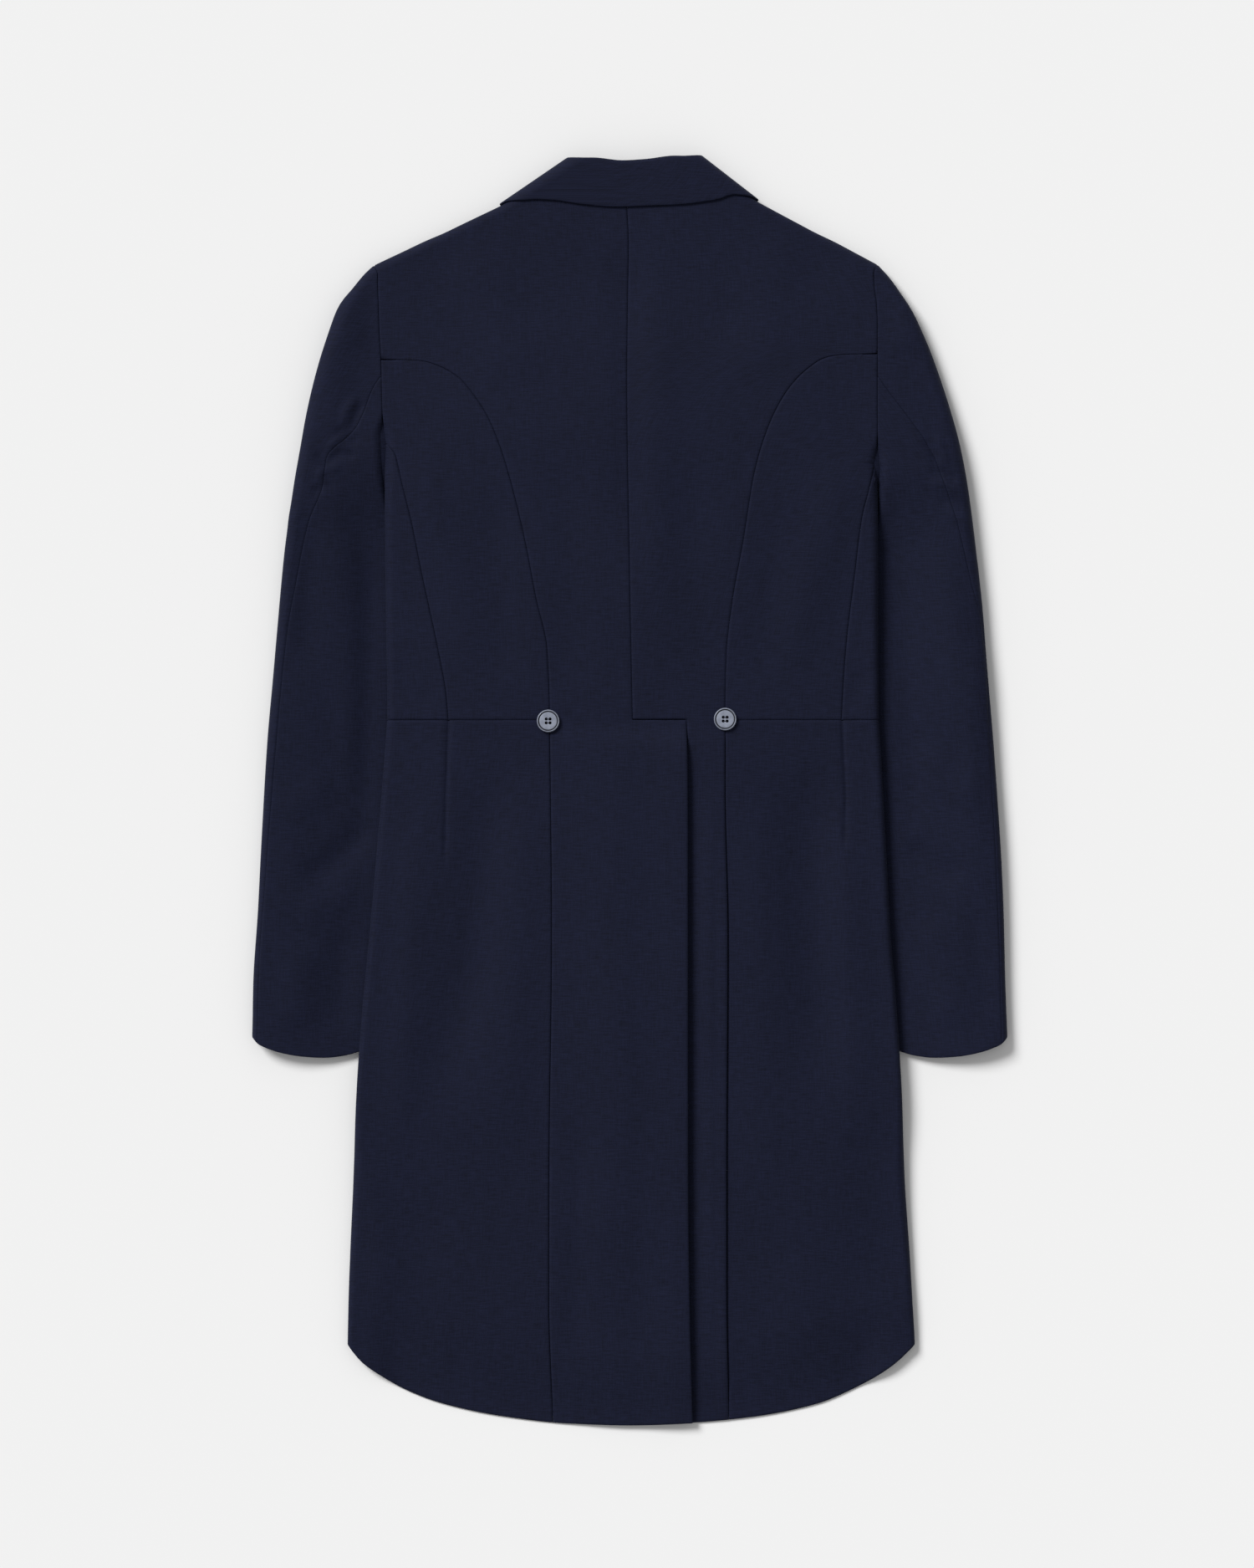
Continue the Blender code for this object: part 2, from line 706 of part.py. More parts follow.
HEAD_ROWS = ((439, 0.0), (434, 0.05), (427, 0.12), (415, 0.24), (400, 0.38), (383, 0.56),
             (364, 0.78), (347, 1.0))
ARM_ROWS = (150, 95, 30, -45, -110, -160, -192)
HORN_TIP = 343.0


def arm_rows(side):
    """Row heights that both pieces of a sleeve share, ending with the cuff."""
    rows = [337.0, 325.0] + [y for y in (312, 300, 286) if y > PIT[side] + 4]
    rows += [PIT[side] + 1]
    upper = len(rows)
    rows += [PIT[side] - step for step in (7, 20, 36, 56, 82)]
    return rows + list(ARM_ROWS) + [None], upper


def cuff_y(x):
    return read(CUFF_EDGE, "y", x)


def sleeve_stations(side):
    """Plan places for each row of the top-sleeve: inner end, fold centre, outward and radius."""
    name = NAMES[side]
    slope_out = shoulder_axis(side)[4]
    last = shoulder_axis(side)[2]
    stations = []
    for y, share in HEAD_ROWS:
        edge = (read(SLEEVE_EDGE, name, y), y)
        high = (read(SLEEVE_EDGE, name, y + 9), y + 9)
        low = (read(SLEEVE_EDGE, name, y - 9), y - 9)
        run = unit(high[0] - low[0], high[1] - low[1])
        outward = unit(*mix_points(slope_out, (run[1], -run[0]), smooth(share / 0.12)))
        radius = read(HEIGHT, "sleeve", y) / 2
        axis = moved(edge, outward, -radius)
        if share == 0:
            axis = moved(last, (1, 0), 3 * SEAM)
            radius = read(HEIGHT, "side", 440) / 2
        inner_y = mix(axis[1] - 3 if share == 0 else last[1] - 3, HIND_TOP, share)
        inner = (read(ARMHOLE, name, inner_y) + HALF_SEAM, inner_y)
        inner = (mix(last[0] + 3 * SEAM, inner[0] + 0.2, smooth(share / 0.3)), inner_y)
        stations.append((inner, axis, outward, radius, inner))
    for y in arm_rows(side)[0]:
        key = -206.0 if y is None else y
        radius = read(HEIGHT, "sleeve", key) / 2
        edge = read(SLEEVE_EDGE, name, key)
        seam = read(HIND_SEAM, name, key) + HALF_SEAM
        fore = forearm(side, key) + HALF_SEAM
        if y is None:
            stations.append(((seam, cuff_y(seam)), (edge - radius, cuff_y(edge - radius)), (1, 0),
                             radius, (fore, cuff_y(fore))))
        else:
            stations.append(((seam, y), (edge - radius, y), (1, 0), radius, (fore, y)))
    return stations


def inner_edge(side, y):
    """Distance of a sleeve's inner side from the middle: its armhole seam or its inner fold."""
    if y >= PIT[side]:
        return read(ARMHOLE, NAMES[side], y) + HALF_SEAM
    return sleeve_inner(side, y) - inner_height(side, y) / 2


def forearm(side, y):
    """The forearm seam beneath, near the inner fold, from the armhole to the cuff."""
    width = 16 + inner_height(side, min(y, PIT[side])) / 2
    return inner_edge(side, y) + width * min((HIND_TOP - y) / (HIND_TOP - PIT[side]), 1.0)


SLEEVE_SHARES = (0, 0.25, 0.5, 0.75, 1)


def top_sleeve_grid(side):
    grid = []
    for inner, axis, outward, radius, fore in sleeve_stations(side):
        grid.append(wrap_row(inner, axis, outward, radius, fore,
                             lambda x, y: sleeve_top(x, y, side), flat_ground, (4, 6),
                             SLEEVE_SHARES))
    return grid


def under_sleeve_grid(side):
    """The under-sleeve, with a horn on each layer up to the armhole."""
    name = NAMES[side]
    grid = []
    rows, upper = arm_rows(side)
    for y in [HORN_TIP] + rows:
        key = -206.0 if y is None else y
        seam = read(HIND_SEAM, name, key) - HALF_SEAM
        fore = forearm(side, key) - HALF_SEAM
        edge = inner_edge(side, key)
        height = read(HEIGHT, "side", key) if key >= PIT[side] else inner_height(side, key)
        turn = pit_angle(side, key) if key > PIT[side] else math.radians(87)
        width = min(6.0, 0.4 * (seam - edge), 0.6 * (fore - edge))
        rolled = rolled_edge(height / 2, turn, (0, 0.33, 0.67, 1), width)
        centre = edge + rolled[0][0]
        outer_radius = read(HEIGHT, "sleeve", key) / 2
        outer_centre = read(SLEEVE_EDGE, name, key) - outer_radius
        row = []
        scale = min(1.0, (seam - centre) / 14)
        places = [seam - inset * scale for inset in (0, 1.5, 4, 8)]
        for x in places + [mix(places[-1], centre, 0.5)]:
            z = sleeve_top(min(x, outer_centre), key, side)
            if x > outer_centre:
                z = z / 2 + z / 2 * math.cos(math.asin((x - outer_centre) / outer_radius))
            row.append((x, key, z))
        row += [(edge + inset, key, height - drop) for inset, drop in rolled]
        row += [(edge + inset, key, drop) for inset, drop in rolled[::-1]]
        row.append((mix(centre, fore, 0.5), key, 0.0))
        row.append((fore, key, 0.0))
        if y is None:
            row = [(x, cuff_y(x), z) for x, _, z in row]
        grid.append(row)
    open_cells = [(i, 8) for i in range(upper)]
    return grid, open_cells


# Collar and lapels

ROLL_TOP = 1.9
ROLL_UNDER = 1.05
STAND_UNDER = LAYER + HALF_WALL
LEAF_LEVEL = LAYER + 0.7


def collar_section(neck, top, leaf, roll, leaf_level, place):
    """Points from the neck seam up the stand, over the roll and down the leaf."""
    back = unit(top[0] - leaf[0], top[1] - leaf[1])
    shoulder = moved(top, back, -roll)
    points = [place(mix_points(neck, shoulder, s), 0.0) for s in (0, 0.5, 1)]
    for angle in (45, 90, 135, 180):
        turn = math.radians(angle)
        points.append(place(moved(shoulder, back, roll * math.sin(turn)), roll * (1 - math.cos(turn))))
    for share in (0.33, 0.67, 1):
        points.append(place(mix_points(shoulder, leaf, share), mix(2 * roll, leaf_level, share)))
    return points


def collar_side_rows(side):
    """Rows from the gorge under the coat, round the crease, up to the back."""
    top, neck, leaf, outward = crease_axis(side)
    high = read(HEIGHT, "side", 500) - HALF_WALL
    radius = (high - STAND_UNDER) / 2
    middle = (high + STAND_UNDER) / 2
    run = unit(top[0] - leaf[0], top[1] - leaf[1])
    neck = moved(neck, run, HALF_SEAM)
    gorge_top = moved(GORGE[0], (0, 1), HALF_SEAM)
    gorge_leaf = moved(GORGE[1], (0, 1), HALF_SEAM)
    gorge_neck = (GORGE_NECK[0] - 1.5, GORGE_NECK[1] + 1.5)
    rows = []

    def flat_place(plan, level):
        return (plan[0] * side, plan[1], STAND_UNDER - level)

    for share in (0, 0.35, 0.7):
        rows.append(collar_section(mix_points(gorge_neck, neck, share), mix_points(gorge_top, top, share),
                                   mix_points(gorge_leaf, leaf, share), ROLL_UNDER, LAYER, flat_place))
    for angle in (180, 160, 140, 120, 100, 80, 60, 40, 20):
        turn = math.radians(angle)
        under = smooth((angle - 110) / 70)
        roll = mix(ROLL_TOP, ROLL_UNDER, under)
        leaf_level = mix(LEAF_LEVEL, LAYER, under)

        def turned_place(plan, level, turn=turn):
            plan = moved(plan, outward, (radius + level) * math.sin(turn))
            return (plan[0] * side, plan[1], middle + (radius + level) * math.cos(turn))

        rows.append(collar_section(neck, top, leaf, roll, leaf_level, turned_place))
    return rows


def collar_grid():
    left = collar_side_rows(LEFT)
    right = collar_side_rows(RIGHT)
    middle = []
    for share in spread(-1.0, 1.0, 10):
        side = LEFT if share < 0 else RIGHT
        top, neck, leaf, _ = crease_axis(side)
        size = abs(share)
        neck_x = side * size * (neck[0] - 0.1)
        top_x = side * size * top[0] + 2.0 * (1 - size)
        leaf_x = side * size * leaf[0]
        inset = mix(HALF_WALL, 8.0, smooth((size - 0.7) / 0.3))
        neck_point = (neck_x, neck_line(abs(neck_x), side) + HALF_SEAM)
        top_y = read(COLLAR_TOP, "y", top_x) - inset
        leaf_y = mix(read(COLLAR_LEAF, "y", leaf_x), leaf[1], smooth((size - 0.6) / 0.4))
        if size == 1:
            top_y = top[1]

        def place(plan, level, side=side):
            return (plan[0], plan[1], body_top(abs(plan[0]), plan[1], side) - HALF_WALL + level)

        middle.append(collar_section(neck_point, (top_x, top_y), (leaf_x, leaf_y), ROLL_TOP, LEAF_LEVEL,
                                     place))
    return left + middle + right[::-1]


def lapel_grid(side):
    """A lapel turned back flat beneath its front."""
    grid = []
    for y in (458, 440, 415, 380, 340, 300, 255, 205, 158):
        inner = read(FRONT_EDGE, "x", min(y, 453)) + 0.5
        outer = read(LAPEL_EDGE, "x", y)
        row = []
        for share in (0, 0.35, 0.7, 1):
            x = mix(inner, outer, share)
            line_y = mix(GORGE[0][1], GORGE[1][1], share) - HALF_SEAM
            row.append((x, line_y if y == 458 else y, 0.0))
        grid.append(row)
    return grid


# Buttons

def button_mesh(name):
    """A round button: a raised rim about a dished middle."""
    radius = BUTTON_WIDTH / 2
    profile = ((0.0, 0.0), (0.82, 0.0), (1.0, 0.35), (1.0, 0.75), (0.94, 1.0), (0.8, 1.0), (0.68, 0.72),
               (0.0, 0.66))
    mesh = bmesh.new()
    rings = []
    for reach, height in profile:
        if reach == 0:
            rings.append([mesh.verts.new((0, 0, height * BUTTON_THICK * MM))])
            continue
        ring = []
        for i in range(24):
            turn = math.tau * i / 24
            ring.append(mesh.verts.new((reach * radius * math.cos(turn) * MM,
                                        reach * radius * math.sin(turn) * MM,
                                        height * BUTTON_THICK * MM)))
        rings.append(ring)
    for lower, upper in zip(rings, rings[1:]):
        for i in range(24):
            k = (i + 1) % 24
            if len(lower) == 1:
                mesh.faces.new((lower[0], upper[i], upper[k]))
            elif len(upper) == 1:
                mesh.faces.new((lower[i], upper[0], lower[k]))
            else:
                mesh.faces.new((lower[i], upper[i], upper[k], lower[k]))
    bmesh.ops.recalc_face_normals(mesh, faces=mesh.faces)
    data = bpy.data.meshes.new(name)
    mesh.to_mesh(data)
    mesh.free()
    return data


def build_buttons(material):
    places = {
        "button_back_left": (-68.1, 58.2, body_top(68.1, 58.2, LEFT) + 0.25, False),
        "button_back_right": (79.6, 59.7, body_top(79.6, 59.7, RIGHT) + 0.25, False),
        "button_front": (0.0, FRONT_BUTTON_Y, BUTTON_THICK, True),
    }
    for name, (x, y, z, face_down) in places.items():
        piece = add_piece(name, button_mesh(name), material)
        piece.location = (x * MM, y * MM, z * MM)
        if face_down:
            piece.rotation_euler = (math.pi, 0, 0)


def build_cloth(material):
    for side in (LEFT, RIGHT):
        name = NAMES[side]
        add_piece(f"back_{name}", wall_mesh(f"back_{name}", back_grid(side)[::-1], True), material)
        piece = mirrored(side_body_grid(side), side)
        add_piece(f"side_body_{name}", wall_mesh(f"side_body_{name}", piece, True), material)
        grid, open_cells = front_grid(side)
        piece = mirrored(grid, side)
        add_piece(f"front_{name}", wall_mesh(f"front_{name}", piece, True, open_cells=open_cells), material)
        piece = mirrored(skirt_grid(side), side)
        add_piece(f"skirt_{name}", wall_mesh(f"skirt_{name}", piece, True), material)
        piece = mirrored(top_sleeve_grid(side), side)
        add_piece(f"sleeve_{name}_top", wall_mesh(f"sleeve_{name}_top", piece, True), material)
        grid, open_cells = under_sleeve_grid(side)
        piece = mirrored(grid, side)
        data = wall_mesh(f"sleeve_{name}_under", piece, True, open_cells=open_cells)
        add_piece(f"sleeve_{name}_under", data, material)
        piece = mirrored(lapel_grid(side), side)
        add_piece(f"lapel_{name}", wall_mesh(f"lapel_{name}", piece, False), material)
    grid = collar_grid()
    add_piece("collar", wall_mesh("collar", grid, False, HALF_WALL, HALF_WALL), material)


def main():
    for item in list(bpy.data.objects):
        bpy.data.objects.remove(item)
    wool = plain_material("navy_wool", (0.0130, 0.0144, 0.0296), 0.85)
    horn = plain_material("slate_button", (0.115, 0.135, 0.19), 0.4)
    build_cloth(wool)
    build_buttons(horn)


main()
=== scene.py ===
import math
from bisect import bisect_right
from functools import lru_cache

import bpy
import numpy as np
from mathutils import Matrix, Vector


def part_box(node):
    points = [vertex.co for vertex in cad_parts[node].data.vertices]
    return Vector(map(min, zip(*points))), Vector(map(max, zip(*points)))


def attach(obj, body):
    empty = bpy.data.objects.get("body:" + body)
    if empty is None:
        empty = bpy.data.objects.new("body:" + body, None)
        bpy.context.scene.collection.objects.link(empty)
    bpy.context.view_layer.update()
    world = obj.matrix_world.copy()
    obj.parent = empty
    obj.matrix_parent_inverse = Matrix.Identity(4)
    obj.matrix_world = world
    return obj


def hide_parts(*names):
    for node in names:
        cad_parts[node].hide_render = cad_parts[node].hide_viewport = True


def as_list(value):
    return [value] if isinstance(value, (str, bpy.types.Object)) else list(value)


# A morning coat in dark navy wool, laid flat on its front with its back up.
# Plan sizes are in millimetres, +y towards the collar; side pieces are drawn
# by their distance from the middle, so that one function makes both of a pair.

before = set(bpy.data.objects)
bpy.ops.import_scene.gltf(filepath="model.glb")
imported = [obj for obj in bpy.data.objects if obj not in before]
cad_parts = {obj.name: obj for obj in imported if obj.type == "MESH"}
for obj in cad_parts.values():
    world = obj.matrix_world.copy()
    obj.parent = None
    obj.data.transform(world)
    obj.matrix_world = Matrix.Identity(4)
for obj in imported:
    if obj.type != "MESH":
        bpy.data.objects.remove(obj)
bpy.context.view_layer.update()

MM = 0.001

# Thickness of the cloth, open gap at a seam, room for a layer beneath, half of the collar's cloth
CLOTH = 1.7
SEAM = 0.08
HALF_SEAM = SEAM / 2
LAYER = 2.1
MID_CLOTH = 0.9
LEFT = -1
RIGHT = 1
NAMES = {LEFT: "left", RIGHT: "right"}

# Places along the coat: waist seam, corner of the hem, armpits, upper ends of the hind-arm seams
WAIST = 59.0
HEM_CORNER = -464.0
PIT = {LEFT: 291.0, RIGHT: 272.0}
PIT_RISE = 30.0
HIND_TOP = 346.3
HORN_TIP = 345.4
CUFF_CORNER = -206.0
SLEEVE_INNER_HEIGHT = 5.4
FOLD_GAP = 0.8
ROLL_DEGREES = 87
BUTTON_WIDTH = 19.5
BUTTON_THICK = 2.6
FRONT_BUTTON_Y = 76.0

# Usual spacing of the places on the cloth, the closer ones at a seam, and how the seam is sunk
STEP = 4.2
SEAM_STEPS = (0.0, 0.45, 1.0, 1.8, 3.0)
SEAM_DROP = 0.85
SEAM_ROLL = 1.8


# Measured lines

class Table:
    """Columns read by a smooth curve through their rows, the first column rising."""

    def __init__(self, columns, *rows):
        rows = sorted(rows)
        names = columns.split()
        self.keys = [float(row[0]) for row in rows]
        self.columns = {name: [float(row[i]) for row in rows] for i, name in enumerate(names)}
        self.slopes = {name: even_slopes(self.keys, self.columns[name]) for name in names}


def even_slopes(keys, values):
    """Slopes of a curve that never swings past its points."""
    steps = [b - a for a, b in zip(keys, keys[1:])]
    falls = [(b - a) / step for a, b, step in zip(values, values[1:], steps)]
    result = [falls[0]]
    for i in range(1, len(falls)):
        if falls[i - 1] * falls[i] <= 0:
            result.append(0.0)
            continue
        before = 2 * steps[i] + steps[i - 1]
        after = steps[i] + 2 * steps[i - 1]
        result.append((before + after) / (before / falls[i - 1] + after / falls[i]))
    return result + [falls[-1]]


@lru_cache(maxsize=400000)
def read(table, name, key):
    """The value of one column where the first column has the value key."""
    keys = table.keys
    values = table.columns[name]
    if key <= keys[0]:
        return values[0]
    if key >= keys[-1]:
        return values[-1]
    i = bisect_right(keys, key) - 1
    step = keys[i + 1] - keys[i]
    part = (key - keys[i]) / step
    back = part - 1
    slopes = table.slopes[name]
    return (values[i] * (1 + 2 * part) * back ** 2 + slopes[i] * step * part * back ** 2
            + values[i + 1] * part ** 2 * (3 - 2 * part) + slopes[i + 1] * step * part ** 2 * back)


# Side edge of the body, where the forepart and the skirt turn under
SIDE_EDGE = Table(
    "y left right",
    (291, 205, 207), (172, 204, 207.5), (70, 202.5, 207.7), (30, 205, 210), (-40, 211, 214),
    (-113, 217.5, 218), (-170, 223, 222.7), (-248, 228.5, 227.5), (-318, 231, 230),
    (-388, 234, 234.5), (-464, 236, 238.5))

# Armhole seam, by height in plan
ARMHOLE = Table(
    "y left right",
    (440, 210.7, 204), (387, 209.5, 207), (360, 208, 207), (328, 207.2, 206.9), (272, 205, 207))

# Side-body seam in the back, from the armhole down to the waist
SIDE_BODY = Table(
    "station left_x left_y right_x right_y centre_y side_left side_right",
    (0, 207.8, 360.5, 206.8, 365.3, 381, 360, 364.8), (1, 176, 359.2, 177, 364.2, 367, 352, 353),
    (2, 160.5, 355, 163, 361.5, 353, 342, 337), (3, 143, 345, 150, 353.5, 338, 328, 318),
    (4, 130, 330, 136, 340, 321, 313, 299), (5, 119, 313, 123, 320, 303, 300, 282),
    (6, 109.5, 291, 112.5, 295, 281, 289.5, 270.5), (7, 100, 261, 104, 265, 255, 280, 260),
    (8, 87, 207, 94.5, 207, 207, 225, 222), (9, 78, 160, 86, 160, 160, 170, 170),
    (10, 69, 119, 80.8, 115, 117, 120, 118), (11, 66.9, 72, 79.7, 72, 72, 72, 72),
    (12, 66.9, 59, 79.6, 59, 59, 59, 59))

# Side seam between the side-body and the forepart
SIDE_SEAM = Table(
    "y left right",
    (291, 205, 205), (280, 195.5, 205), (272, 193.5, 204.5), (256, 190, 201), (228, 183, 194),
    (181, 173.5, 188), (123, 161, 181), (82, 153.5, 178), (59, 151.4, 176.9))

# Seam between the skirt and the tail, and the free edge of the vent flap
TAIL_SEAM = Table(
    "y left right vent",
    (59, 66.9, 79.6, 47.4), (0, 66, 79.4, 48.4), (-120, 65, 81.7, 48.6), (-318, 67.2, 80.9, 48.8),
    (-425, 67.4, 81, 50), (-531, 64, 83, 52.6))

# Centre back seam, measured from the middle towards the right
CENTRE = Table(
    "y x", (487, -2.3), (457, -0.9), (414, -1.6), (347, -2.3), (172, 0.2), (59, 2.4))

# Hem line of skirts and tails, measured from the middle towards the right
HEM = Table(
    "x y",
    (-236, -464), (-224, -478), (-207, -490), (-187, -501.5), (-156, -513), (-103, -524),
    (-53, -529.5), (0, -531), (43, -529.5), (103, -524), (157, -513), (185, -501.5),
    (206, -490), (222, -479), (238, -464))

# Front edge beneath: roll line down to the button, then the cut-away edge of the skirt
FRONT_EDGE = Table(
    "y x",
    (453, 44), (300, 22), (150, 2), (95, -8), (76, -11), (59, -5), (39, 10), (-24, 51),
    (-122, 107), (-248, 163), (-388, 212), (-464, 231))

# Outer edge of each sleeve from the shoulder to the cuff
SLEEVE_EDGE = Table(
    "y left right",
    (439, 214, 207.5), (431, 222.6, 215.4), (403, 241, 234.3), (375, 252.2, 248.3),
    (347, 261.3, 258.8), (319, 269, 267.9), (291, 274.6, 275.6), (263, 279.5, 281.2),
    (235, 283.7, 285.4), (207, 287.9, 288.9), (151, 293.5, 295.2), (95, 298.4, 299.4),
    (39, 303.3, 304.3), (-45, 308.2, 309.9), (-101, 311, 312.7), (-157, 314.5, 314.1),
    (-206, 315.9, 315.9))

# Hind-arm seam that shows on the back of each sleeve
HIND_SEAM = Table(
    "y left right",
    (346.3, 207.8, 207), (337, 214, 213.5), (314, 223.2, 231), (302, 229.5, 239.8),
    (294, 237, 245.5), (286, 247, 250), (279, 252.8, 254), (270, 254.6, 257.5),
    (257, 256, 262.5), (224, 268.2, 273.4), (171, 279.3, 286),
    (137, 285.5, 295), (32, 296, 301), (-73, 304.5, 306.5), (-143, 309.5, 309.5),
    (-206, 311.5, 311))

# How far the inner fold of each sleeve lies under the side of the body
TUCK = Table("y left right", (210, 7, 5), (150, 14, 7), (0, 24, 9), (-206, 33, 12))

# Cuff edge, measured from the middle
CUFF_EDGE = Table(
    "x y",
    (193, -206), (210, -212), (226, -218), (238, -221.5), (255, -223.4), (273, -222.4),
    (292, -219), (304, -215), (311, -211.5), (316, -206.5))

# Height of the body at its sides, the rise at its middle, and the height of a sleeve's outside
HEIGHT = Table(
    "y side crown sleeve",
    (531, 15, 0, 15), (480, 15, 0, 15), (440, 15, 0.8, 15), (360, 17, 4, 17),
    (291, 18.5, 5, 17.5), (200, 18.5, 5, 16), (59, 17, 4, 14), (-200, 15.5, 2, 12.5),
    (-350, 12, 0, 12), (-464, 7.5, 0, 12))

# Ends of the creases where the collar and the shoulders turn under, and lines of the collar
CREASE_TOP = {LEFT: (51.3, 529.6), RIGHT: (59.3, 531.4)}
CREASE_END = {LEFT: (109.4, 491.0), RIGHT: (108.3, 494.5)}
SHOULDER_POINT = {LEFT: (214.0, 438.9), RIGHT: (207.5, 439.5)}
NECK_SHARE = 0.458
BACK_NECK = 496.0
CENTRE_TOP = 487
COLLAR_TOP = Table(
    "x y",
    (-57, 529.5), (-28, 528.6), (-6, 526.4), (13, 527.4), (36, 530.2), (62, 530.9))
COLLAR_LEAF = Table(
    "x y",
    (-109, 491), (-103, 494.5), (-64, 493.1), (-39, 489.6), (-10, 487.5), (11, 488.2),
    (43, 489.6), (70, 493.1), (93, 497.3), (109, 494.5))
GORGE = ((44.0, 453.0), (116.0, 462.0))
GORGE_NECK = (50.0, 457.0)
LAPEL_EDGE = Table(
    "y x",
    (461, 116), (440, 115), (400, 104), (350, 90), (300, 74), (250, 57), (200, 39), (158, 16))

# Dart in each skirt, beneath the waist seam
DART = Table("y left right", (59, 151.4, 177.4), (-5, 153.7, 180.4), (-56, 154.2, 179.4))


# Small helpers

def smooth(value):
    """A soft step from 0 to 1."""
    value = min(max(value, 0.0), 1.0)
    return value * value * (3 - 2 * value)


def ramp(value, start, end):
    """Rises softly from 0 at the start to 1 at the end; the start may be the greater one."""
    return smooth((value - start) / (end - start))


def smooth_all(values):
    """The same soft step for an array of values."""
    values = np.clip(values, 0.0, 1.0)
    return values * values * (3 - 2 * values)


def ramp_all(values, start, end):
    """The same soft rise for an array of values."""
    return smooth_all((values - start) / (end - start))


def mix(a, b, share):
    """The value at this share of the way from a to b."""
    return a + (b - a) * share


def mix_points(a, b, share):
    """The place at this share of the way from a to b."""
    return (mix(a[0], b[0], share), mix(a[1], b[1], share))


def unit(x, y):
    """The same direction with length 1."""
    length = math.hypot(x, y)
    return (x / length, y / length)


def moved(point, direction, distance):
    """A place this far from the point."""
    return (point[0] + direction[0] * distance, point[1] + direction[1] * distance)


def spread(first, last, count):
    """Values at even steps, both ends included."""
    return [mix(first, last, i / count) for i in range(count + 1)]


def seam_spread(first, last, count, close_first=True, close_last=True):
    """Even steps along a line, with closer ones beside the seam at either end."""
    length = abs(last - first)
    scale = min(1.0, length / 20)
    near = [step * scale for step in SEAM_STEPS]
    start = near[-1] if close_first else 0.0
    end = length - (near[-1] if close_last else 0.0)
    places = near[:-1] if close_first else []
    places = places + spread(start, end, count)
    if close_last:
        places += [length - step for step in reversed(near[:-1])]
    return [mix(first, last, place / length) if length else first for place in places]


def seam_shares(length, count, close_first=True, close_last=True):
    """The same steps as shares of a line of this length, from 0 to 1."""
    return [place / length for place in seam_spread(0.0, length, count, close_first, close_last)]


def steps_for(length, step=STEP):
    """Number of even steps along a line."""
    return max(2, round(length / step))


# Heights of the outer faces of the cloth

BODY_HALF_WIDTH = 205
FLAP_RISE = 3.4


def body_top(x, y, side):
    """Height of the back at a distance x from the middle."""
    rise = read(HEIGHT, "crown", y) * max(0.0, 1 - (x / BODY_HALF_WIDTH) ** 2) ** 1.5
    height = read(HEIGHT, "side", y) + rise
    above_hem = y - read(HEM, "y", side * x)
    lying = ramp(above_hem, 0, 70)
    near_side = ramp(abs(x), 190, 220)
    return mix(mix(LAYER, height, lying), height, near_side)


def inner_height(side, y):
    """Height of a sleeve at its inner fold, full at the armpit and low under the body."""
    below = PIT[side] - y
    return mix(read(HEIGHT, "side", PIT[side]), SLEEVE_INNER_HEIGHT, ramp(below, 0, 75))


def side_lift(side, y):
    """Lift of the side of the body over the sleeve that lies beneath it."""
    down = ramp(y, PIT[side] - 5, PIT[side] - 70)
    end = ramp(y, -300, -250)
    return (SLEEVE_INNER_HEIGHT + 0.5) * down * end


def body_radius(side, y):
    """Radius of the fold at the side of the body."""
    return (read(HEIGHT, "side", y) - side_lift(side, y)) / 2


def tuck(side, y):
    """How far the sleeve lies under the body, limited so that their two folds stay clear."""
    wanted = read(TUCK, NAMES[side], y)
    sleeve_radius = inner_height(side, y) / 2
    radius = body_radius(side, y)
    apart = radius + sleeve_radius + FOLD_GAP
    drop = side_lift(side, y) + radius - sleeve_radius
    if drop >= apart:
        return wanted
    return min(wanted, radius + sleeve_radius - math.sqrt(apart ** 2 - drop ** 2))


def body_bottom(x, y, side):
    """Height of the under face of the body at a distance x from the middle."""
    over_lapel = LAYER * ramp(x, 172, 148) * ramp(y, 12, 52)
    sleeve = read(SIDE_EDGE, NAMES[side], y) - read(TUCK, NAMES[side], y) - 4
    over_sleeve = side_lift(side, y) * ramp(x, sleeve - 26, sleeve)
    from_button = math.hypot(x, y - FRONT_BUTTON_Y)
    over_button = (BUTTON_THICK + SEAM) * ramp(from_button, 110, 50)
    return max(over_lapel, over_sleeve, over_button)


def right_front_lift(x, y):
    """The right front lies over the left one at the middle."""
    return (LAYER + 0.4) * ramp(x, 52, 34) * ramp(y, 24, 44)


def flap_lift(x, y):
    """The left tail laps over the right one and stands up along its free edge."""
    lapped = (LAYER + 0.1) * ramp(x, -72, 0) * ramp(y, WAIST - 1, WAIST - 27)
    standing = 0.75 * ramp(y, WAIST, WAIST - 36) + 0.25 * ramp(y, WAIST - 20, WAIST - 360)
    return lapped + FLAP_RISE * standing * ramp(x, 2, 46)


def pit_angle(side, y):
    """Angle by which both sides of the armhole seam roll in above the armpit."""
    return math.radians(ROLL_DEGREES) * (1 - ramp(y, PIT[side], PIT[side] + PIT_RISE))


def rolled_edge(radius, turn, parts, width=6.0):
    """How far inside the armhole seam, and how low, the cloth is as it rolls in to the seam."""
    reach = radius * math.sin(turn)
    result = []
    for part in parts:
        rolled = reach - radius * math.sin(turn * part)
        level = max(reach, width) * (1 - part)
        inset = mix(level, rolled, ramp(turn, 0.35, 0.85))
        angle = math.asin(min(max(0.0, reach - inset) / radius, 1.0))
        result.append((inset, radius * (1 - math.cos(angle))))
    return result


